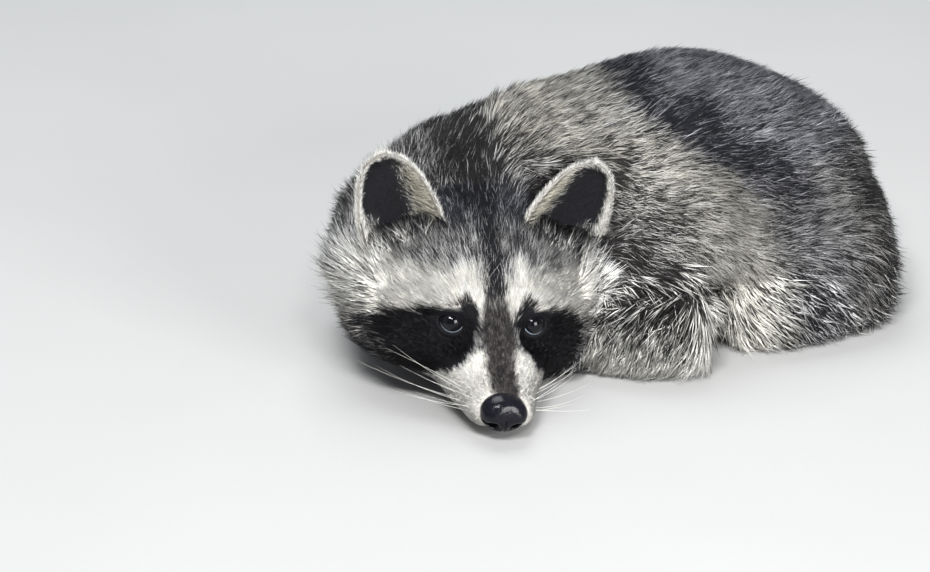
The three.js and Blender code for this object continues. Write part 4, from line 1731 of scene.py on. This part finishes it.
# ---- eyes, nose, claws and whiskers ----------------------------------------------------


@dataclass(frozen=True)
class EyeFrame:
    """An eye's own axes in the head: across, up and out along its gaze."""

    side: int

    @property
    def node(self) -> str:
        """The CAD node of the eye, named for the animal's own left and right."""
        return "eye_left" if self.side > 0 else "eye_right"

    @property
    def axes(self) -> Array:
        """Columns: outwards over the face, up along it, and along the gaze."""
        gaze = eye_axis(self.side)
        across = unit(np.cross(UPWARDS, gaze)) * -self.side
        up = np.cross(gaze, across) * -self.side
        return np.stack([across, up if up[2] > 0 else -up, gaze], axis=1)

    def to_world(self, points: Array) -> Array:
        """Points in the eye's axes as points of this file."""
        centre = EYE_CENTRE * np.array([self.side, 1, 1])
        return HEAD.to_world(points @ self.axes.T + centre)


OPENING = (54.0, 47.0)  # half of the lids' opening in degrees from the gaze: across, up


def eye_opening(a: Array) -> Array:
    """The opening's edge at angle `a` round the gaze: an oval, pointed towards the nose."""
    oval = 1.0 / np.hypot(np.cos(a) / OPENING[0], np.sin(a) / OPENING[1])
    return oval + 6.0 * bump(math.pi, 0.35, np.mod(a, 2 * math.pi))


def round_points(radius: Array, polar: Array, a: Array) -> Array:
    """Points at `radius` from the origin, `polar` from +z and `a` round it, in radians."""
    flat = radius * np.sin(polar)
    parts = flat * np.cos(a), flat * np.sin(a), radius * np.cos(polar)
    return np.stack(np.broadcast_arrays(*parts), axis=-1)


@dataclass
class EyeLid:
    """The bare dark rim round an eye: a soft ring from the eyeball out into the face."""

    side: int
    around: int = 96

    def build(self) -> tuple[Array, Array]:
        """Makes the ring.

        The section is a loop of (degrees past the opening, height over the eyeball,
        extra height under the brow).

        Returns:
            Vertices and triangles that face outwards.
        """
        a = 2 * math.pi * np.arange(self.around) / self.around
        opening = eye_opening(a)
        brow = 0.5 + 0.5 * np.sin(a)
        section = [
            (0.0, 0.02, 0.0), (0.8, 0.28, 0.0), (3.0, 0.50, 0.2), (8.0, 0.75, 0.6),
            (15.0, 0.95, 1.1), (24.0, 1.10, 1.3), (34.0, 1.1, 1.2), (44.0, 0.8, 1.0),
            (52.0, -1.0, 0.0), (34.0, -1.6, 0.0), (8.0, -1.0, 0.0),
        ]  # fmt: skip
        past, height, fold = np.array(section).T
        polar = np.radians(opening[:, None] + past)
        radius = EYE_RADIUS + height + fold * brow[:, None]
        verts = round_points(radius, polar, a[:, None])
        rows, columns = polar.shape
        i, j = np.meshgrid(np.arange(rows), np.arange(columns), indexing="ij")
        k, m = (i + 1) % rows * columns, (j + 1) % columns
        quads = np.stack([i * columns + j, i * columns + m, k + m, k + j], axis=-1)
        world = EyeFrame(self.side).to_world(verts.reshape(-1, 3))
        return outward((world, halves(quads.reshape(-1, 4))))


def ball(rows: int, columns: int) -> tuple[Array, Array, Array]:
    """A unit ball whose pole is +z: vertices, triangles, and each vertex's angle from it."""
    polar = np.linspace(0.0, math.pi, rows + 2)[1:-1]
    a = 2 * math.pi * np.arange(columns) / columns
    verts, faces = closed_tube(round_points(np.ones((rows, 1)), polar[:, None], a))
    verts[-2:] = [[0, 0, 1], [0, 0, -1]]
    angle = np.arccos(np.clip(verts[:, 2], -1, 1))
    return *outward((verts, faces)), angle


@dataclass
class Eye:
    """A dark, wet eyeball with a hardly seen iris, and a painted pale blue reflection just inside
    the lower side of the lids.
    """

    side: int
    cornea: float = 0.5
    inset: float = 0.3

    def build(self, finish: "Finish") -> bpy.types.Object:
        """Makes the eyeball, whose cornea stands proud as a bell round the gaze."""
        verts, faces, angle = ball(64, 96)
        radius = EYE_RADIUS + self.cornea * bump(0.0, math.radians(34), angle) - self.inset
        place = EyeFrame(self.side)
        world = place.to_world(verts * radius[:, None])
        degrees = np.degrees(angle)
        iris = smooth(40.0, 36.0, degrees) * smooth(20.0, 24.0, degrees)
        colour = mix(EYE_BLACK, EYE_IRIS, iris)
        round_ = np.arctan2(verts[:, 1], verts[:, 0])
        part = degrees / eye_opening(round_)
        # Painted reflection: a pale blue arc just inside the lids, on the lower side only.
        low = smooth(-0.6, 0.6, np.cos(round_ + math.radians(48.0)))
        colour = mix(colour, EYE_EDGE_REFLECTION, 0.85 * bump(0.90, 0.038, part) * low)
        shape = outward((world, faces))
        name = place.node + "_ball"
        return make_piece(name, shape, colour, finish.build(), "eye", (place.node,))


@dataclass
class Nose:
    """The nose pad: a rounded block with two comma nostrils and a groove between them."""

    power: float = 2.5

    def build(self, finish: "Finish") -> bpy.types.Object:
        """Makes the pad from a ball pushed out to |x|^p + |y|^p + |z|^p = 1 and carved."""
        verts, faces, _ = ball(110, 160)
        verts = verts @ turn(0, 90.0).T  # the pole points forwards
        p = self.power
        block = verts * (np.abs(verts) ** p).sum(axis=1, keepdims=True) ** (-1 / p)
        x, y, z = block.T
        front = smooth(0.1, 0.6, -y)
        narrow = 1.0 - 0.20 * smooth(-0.2, -1.0, z) - 0.10 * smooth(0.2, 1.0, z)
        spread = np.abs(x)
        hole = np.hypot((spread - 0.48) / 0.20, (z + 0.40 - 0.25 * (spread - 0.48)) / 0.19)
        slit_z = -0.46 + 0.45 * (spread - 0.5)
        slit = np.hypot(
            np.clip(np.abs(spread - 0.74) - 0.18, 0, None) / 0.10, (z - slit_z) / 0.09
        )
        depth = 0.52 * np.exp(-(hole**2)) + 0.24 * np.exp(-(slit**2))
        groove = 0.11 * bump(0.0, 0.055, x) * smooth(0.30, -0.1, z)
        wing = 0.10 * np.exp(-(((spread - 0.66) / 0.26) ** 2) - ((z - 0.12) / 0.34) ** 2)
        dent = 0.05 * bump(0.0, 0.30, x) * bump(0.55, 0.35, z)
        lift = 1.0 + wing - dent
        back = np.where(y > 0, 1.1, 1.0)
        top = 1.0 - 0.10 * smooth(0.0, 1.0, z) * smooth(0.2, -0.9, y)
        solid = block * np.stack([narrow * lift, back * top, np.ones_like(x)], axis=1)
        local = solid * NOSE_SIZES
        local[:, 1] += front * (depth + groove) * NOSE_SIZES[1]
        local[:, 1] -= front * (lift - 1.0) * NOSE_SIZES[1]
        pebble = noise(local, 0.8, 501) * 0.018 + noise(local, 2.2, 503) * 0.03
        local += block * (pebble * (1 - smooth(0.1, 0.5, depth + groove)))[:, None]
        local += NOSE_CENTRE
        world = HEAD.to_world(local)
        # Painted shade: the nostrils and the groove between them are darkened.
        hollow = smooth(0.08, 0.35, depth) + 0.6 * smooth(0.03, 0.09, groove)
        shade = mix(NOSE_BLACK, NOSTRIL_SHADE, np.clip(hollow, 0, 1) * front)
        shape = outward((world, faces))
        return make_piece("nose_pad", shape, shade, finish.build(), "nose_leather", ("nose",))


def rod_share(s: Array, sides: int, count: int) -> Array:
    """How far along its rod each vertex is, for `count` closed rods with rings at `s`."""
    return np.tile(np.concatenate([np.repeat(s, sides), [0.0, 1.0]]), count)


@dataclass
class Claws:
    """The five curved claws of one paw."""

    paw: PawPlace
    length: float = 10.0
    radius: float = 1.9
    flat: float = 0.72
    rings: int = 10
    sides: int = 14

    def build(self, finish: "Finish") -> bpy.types.Object:
        """Makes each claw as an arc that falls to the ground, tapering as sqrt(1 - s)."""
        shells = []
        s = np.linspace(0.0, 1.0, self.rings)
        for index in range(DIGITS):
            start, end = self.paw.digit_line(index)
            height = self.paw.thick * (1.0 + 0.55 * s - 1.2 * s**2)
            ground = end + unit(end - start) * (self.length * s - 2.0)[:, None]
            spine = np.concatenate([ground, height[:, None]], axis=1)
            girth = self.radius * np.sqrt(np.clip(1.0 - 0.97 * s, 0, 1))
            rings = rod(spine, girth, self.sides, UPWARDS, self.flat)
            rings[..., 2] = np.maximum(rings[..., 2], LOWEST_ROOT)
            verts, faces = closed_tube(rings)
            shells.append(outward((self.paw.to_world(verts), faces)))
        nodes = tuple(f"{self.paw.name}_claw_{k + 1}" for k in range(DIGITS))
        colours = mix(CLAW_BASE, CLAW_TIP, rod_share(s, self.sides, DIGITS) ** 1.5)
        name = f"{self.paw.name}_claws"
        return make_piece(name, joined(shells), colours, finish.build(), "claw", nodes)


@dataclass
class Whiskers:
    """Stiff white whiskers in rows on the upper lip's pads."""

    count: int = 9
    radius: float = 0.095
    rings: int = 16
    sides: int = 5

    def build(self, finish: "Finish") -> bpy.types.Object:
        """Makes each whisker as a tapering arc that sweeps out and back from its pad."""
        rng = np.random.default_rng(SEED + 90)
        s = np.linspace(0.0, 1.0, self.rings)[:, None]
        shells = []
        for side in (-1, 1):
            for index in range(self.count):
                row, place = index % 3, index // 3
                root = [
                    side * (12.0 + 1.9 * place),
                    -42.0 + 4.4 * place + 0.7 * rng.normal(),
                    -19.5 - 3.0 * row + 0.5 * rng.normal(),
                ]
                length = 36.0 + 6.0 * place + 6.0 * rng.normal()
                lead = [
                    side * (0.95 + 0.08 * rng.normal()),
                    0.05 + 0.14 * place + 0.1 * rng.normal(),
                    0.34 - 0.18 * row + 0.08 * rng.normal(),
                ]
                sag = [side * -0.04, 0.34 + 0.1 * rng.normal(), -0.12 + 0.10 * rng.normal()]
                spine = root + length * (s * unit(np.array(lead)) + s**2 * np.array(sag))
                girth = self.radius * (1.0 - 0.8 * s[:, 0])
                rings = rod(spine, girth, self.sides, np.array([0.0, 0.3, 1.0]))
                verts, faces = closed_tube(rings)
                world = HEAD.to_world(verts)
                world[:, 2] = np.maximum(world[:, 2], 0.6 + 0.1 * world[:, 2])
                shells.append(outward((world, faces)))
        far = rod_share(s[:, 0], self.sides, 2 * self.count)
        colours = mix(WHISKER_ROOT, CREAM, smooth(0.0, 0.25, far))
        return make_piece("whiskers", joined(shells), colours, finish.build(), "claw")


# ---- finishes ------------------------------------------------------------------------


class Grain(Enum):
    """The texture that mottles and roughens a finish."""

    FIBRES = "ShaderNodeTexNoise"
    PEBBLES = "ShaderNodeTexVoronoi"


TEXTURE_LOW, TEXTURE_HIGH = 0.3, 0.7  # the range of most of a texture's values


class Nodes:
    """A material's node tree, filled one node at a time."""

    def __init__(self, name: str) -> None:
        """Makes the material with its principled shader.

        Args:
            name: the material's name.
        """
        self.material = bpy.data.materials.new(name)
        self.material.use_nodes = True
        self.tree = self.material.node_tree
        self.shader = self.tree.nodes["Principled BSDF"]
        self.place = self.add("ShaderNodeTexCoord", {}).outputs["Object"]

    def add(self, kind: str, inputs: dict, **settings: object) -> bpy.types.Node:
        """Adds a node.

        Args:
            kind: the node's type.
            inputs: a socket to link, or a value to set, for each named input.
            settings: the node's own properties.

        Returns:
            The node.
        """
        node = self.tree.nodes.new(kind)
        for name, value in settings.items():
            setattr(node, name, value)
        self.feed(node, inputs)
        return node

    def feed(self, node: bpy.types.Node, inputs: dict) -> None:
        """Links or sets a node's inputs."""
        for name, value in inputs.items():
            if isinstance(value, bpy.types.NodeSocket):
                self.tree.links.new(value, node.inputs[name])
            else:
                node.inputs[name].default_value = value

    def spread(self, value: bpy.types.NodeSocket, low: float, high: float) -> bpy.types.NodeSocket:
        """A texture's middle values, stretched to run from `low` to `high`."""
        middle = {"Value": value, "From Min": TEXTURE_LOW, "From Max": TEXTURE_HIGH}
        return self.add("ShaderNodeMapRange", {**middle, "To Min": low, "To Max": high}).outputs[0]


@dataclass(frozen=True)
class Finish:
    """A finish: the mesh's own colour, mottled, over a rough and finely bumped surface.

    Scales are in repeats a metre and heights in metres. `roughness` is the least and the
    most that the grain gives.
    """

    name: str
    roughness: tuple[float, float]
    specular: float
    mottle: float
    mottle_scale: float
    grain_scale: float
    grain_height: float
    grain: Grain = Grain.FIBRES
    plain: tuple[float, float, float] | None = None

    def build(self) -> bpy.types.Material:
        """Makes the material, or finds it if it is already made."""
        made = bpy.data.materials.get(self.name)
        if made:
            return made
        nodes = Nodes(self.name)
        patches = nodes.add(
            "ShaderNodeTexNoise",
            {"Vector": nodes.place, "Scale": self.mottle_scale, "Detail": 3.0},
        )
        grain = nodes.add(self.grain.value, {"Vector": nodes.place, "Scale": self.grain_scale})
        if self.plain:
            colour = nodes.add("ShaderNodeRGB", {}).outputs[0]
            colour.default_value = (*self.plain, 1.0)
        else:
            colour = nodes.add("ShaderNodeAttribute", {}, attribute_name=COLOUR).outputs["Color"]
        value = nodes.spread(patches.outputs[0], 1.0 - self.mottle, 1.0 + self.mottle)
        tinted = nodes.add("ShaderNodeHueSaturation", {"Color": colour, "Value": value})
        bump_node = nodes.add(
            "ShaderNodeBump",
            {"Height": grain.outputs[0], "Distance": self.grain_height, "Strength": 1.0},
        )
        nodes.feed(
            nodes.shader,
            {
                "Base Color": tinted.outputs["Color"],
                "Roughness": nodes.spread(grain.outputs[0], *self.roughness),
                "Normal": bump_node.outputs["Normal"],
                "Specular IOR Level": self.specular,
            },
        )
        return nodes.material


FUR = Finish("fur", (0.46, 0.66), 0.24, 0.16, 130.0, 1500.0, 0.00002)
SKIN = Finish("underfur", (0.60, 0.85), 0.12, 0.30, 900.0, 1600.0, 0.0003)
EYE = Finish("wet_eye", (0.02, 0.05), 0.26, 0.25, 700.0, 400.0, 0.000004)
LEATHER = Finish(
    "nose_pad_leather", (0.10, 0.20), 0.20, 0.30, 500.0, 1250.0, 0.00004, Grain.PEBBLES
)
HORN = Finish("claw_horn", (0.26, 0.48), 0.45, 0.30, 600.0, 1800.0, 0.00004)
WHISKER = Finish("whisker", (0.30, 0.45), 0.4, 0.10, 300.0, 2500.0, 0.00001)
FLOOR = Finish("floor", (0.7, 0.85), 0.2, 0.015, 6.0, 500.0, 0.00005, plain=(0.42, 0.42, 0.415))


# ---- the studio ------------------------------------------------------------------------


@dataclass(frozen=True)
class Lamp:
    """A soft rectangular light that looks at the animal."""

    name: str
    place: tuple[float, float, float]
    size: tuple[float, float]
    power: float
    colour: tuple[float, float, float] = (1.0, 1.0, 1.0)
    target: tuple[float, float, float] = (0.0, 0.0, 0.05)

    def build(self) -> None:
        """Adds the light, turned to face its target."""
        data = bpy.data.lights.new(self.name, "AREA")
        data.shape = "RECTANGLE"
        data.size, data.size_y = self.size
        data.energy = self.power
        data.color = self.colour
        lamp = place_object(self.name, data)
        place = np.array(self.place)
        lamp.location = place
        lamp.rotation_euler = look(np.array(self.target) - place)


def look(direction: Array) -> tuple[float, float, float]:
    """Euler angles of something whose -z runs along a direction, with its x level."""
    x, y, z = unit(direction)
    return (math.acos(-z), 0.0, math.atan2(-x, y))


# Places and sizes in metres, in the model's frame; powers in watts.
LAMPS = (
    Lamp("key", (-0.42, -1.25, 1.75), (0.55, 0.4), 40),
    Lamp("catch", (0.12, -1.25, 1.32), (0.34, 0.16), 12),
    Lamp("fill", (1.25, -1.5, 0.6), (0.9, 0.9), 42),
    Lamp("top", (-0.3, 0.7, 1.7), (1.2, 1.2), 24, (0.94, 0.97, 1.0)),
)


@dataclass(frozen=True)
class Studio:
    """Plain floor, soft light, and the camera: low in front of the face, looking down."""

    elevation: float = 25.0
    away: float = 1700.0
    shift: tuple[float, float] = (-14.31, 20.94)
    lens: float = 124.2
    sensor: float = 36.0
    sight: float = 20.0
    floor_half: float = 6.0
    sky: tuple[float, float, float, float] = (0.88, 0.93, 1.0, 1.0)
    sky_strength: float = 0.26

    def build(self) -> None:
        """Builds the floor, the lights, the sky and the camera."""
        self.floor()
        for lamp in LAMPS:
            lamp.build()
        world = bpy.data.worlds.new("studio")
        world.use_nodes = True
        sky = world.node_tree.nodes["Background"]
        sky.inputs["Color"].default_value = self.sky
        sky.inputs["Strength"].default_value = self.sky_strength
        bpy.context.scene.world = world
        bpy.context.scene.view_settings.view_transform = "Standard"
        self.camera()

    def floor(self) -> None:
        """A plain pale floor, wide enough to have no edge in view."""
        mesh = bpy.data.meshes.new("floor")
        w = self.floor_half
        mesh.from_pydata([(-w, -w, 0), (w, -w, 0), (w, w, 0), (-w, w, 0)], [], [(0, 1, 2, 3)])
        mesh.materials.append(FLOOR.build())
        piece = place_object("floor", mesh)

    def camera(self) -> None:
        """A long lens, tilted down by the elevation, level across."""
        tilt = math.radians(self.elevation)
        ahead = np.array([0.0, math.cos(tilt), -math.sin(tilt)])
        up = np.array([0.0, math.sin(tilt), math.cos(tilt)])
        eyes = np.array([0.0, 0.0, HEAD.height])
        place = eyes + np.array([self.shift[0], 0.0, 0.0]) + self.shift[1] * up - self.away * ahead
        data = bpy.data.cameras.new("camera")
        data.lens = self.lens
        data.sensor_width = self.sensor
        data.clip_end = self.sight
        camera = place_object("camera", data)
        camera.location = to_frame(place)
        camera.rotation_euler = look(ahead)
        bpy.context.scene.camera = camera


# ---- the animal ------------------------------------------------------------------------


@dataclass
class Raccoon:
    """The whole animal."""

    def build(self) -> None:
        """Builds the skin, then the coat on it, then the bare parts."""
        flesh = Flesh()
        LOG.info("flesh: lattice %s", flesh.shape)
        pelt = Pelt(flesh)
        pelt.dress(SKIN)
        Coat(pelt).build(FUR)
        for side in (-1, 1):
            Eye(side).build(EYE)
        Nose().build(LEATHER)
        for paw in PAWS:
            Claws(paw).build(HORN)
        Whiskers().build(WHISKER)


def main() -> None:
    """Builds the scene."""
    logging.basicConfig(level=logging.INFO, format="%(name)s %(message)s")
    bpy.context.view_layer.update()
    Raccoon().build()
    Studio().build()


if __name__ == "__main__":
    main()
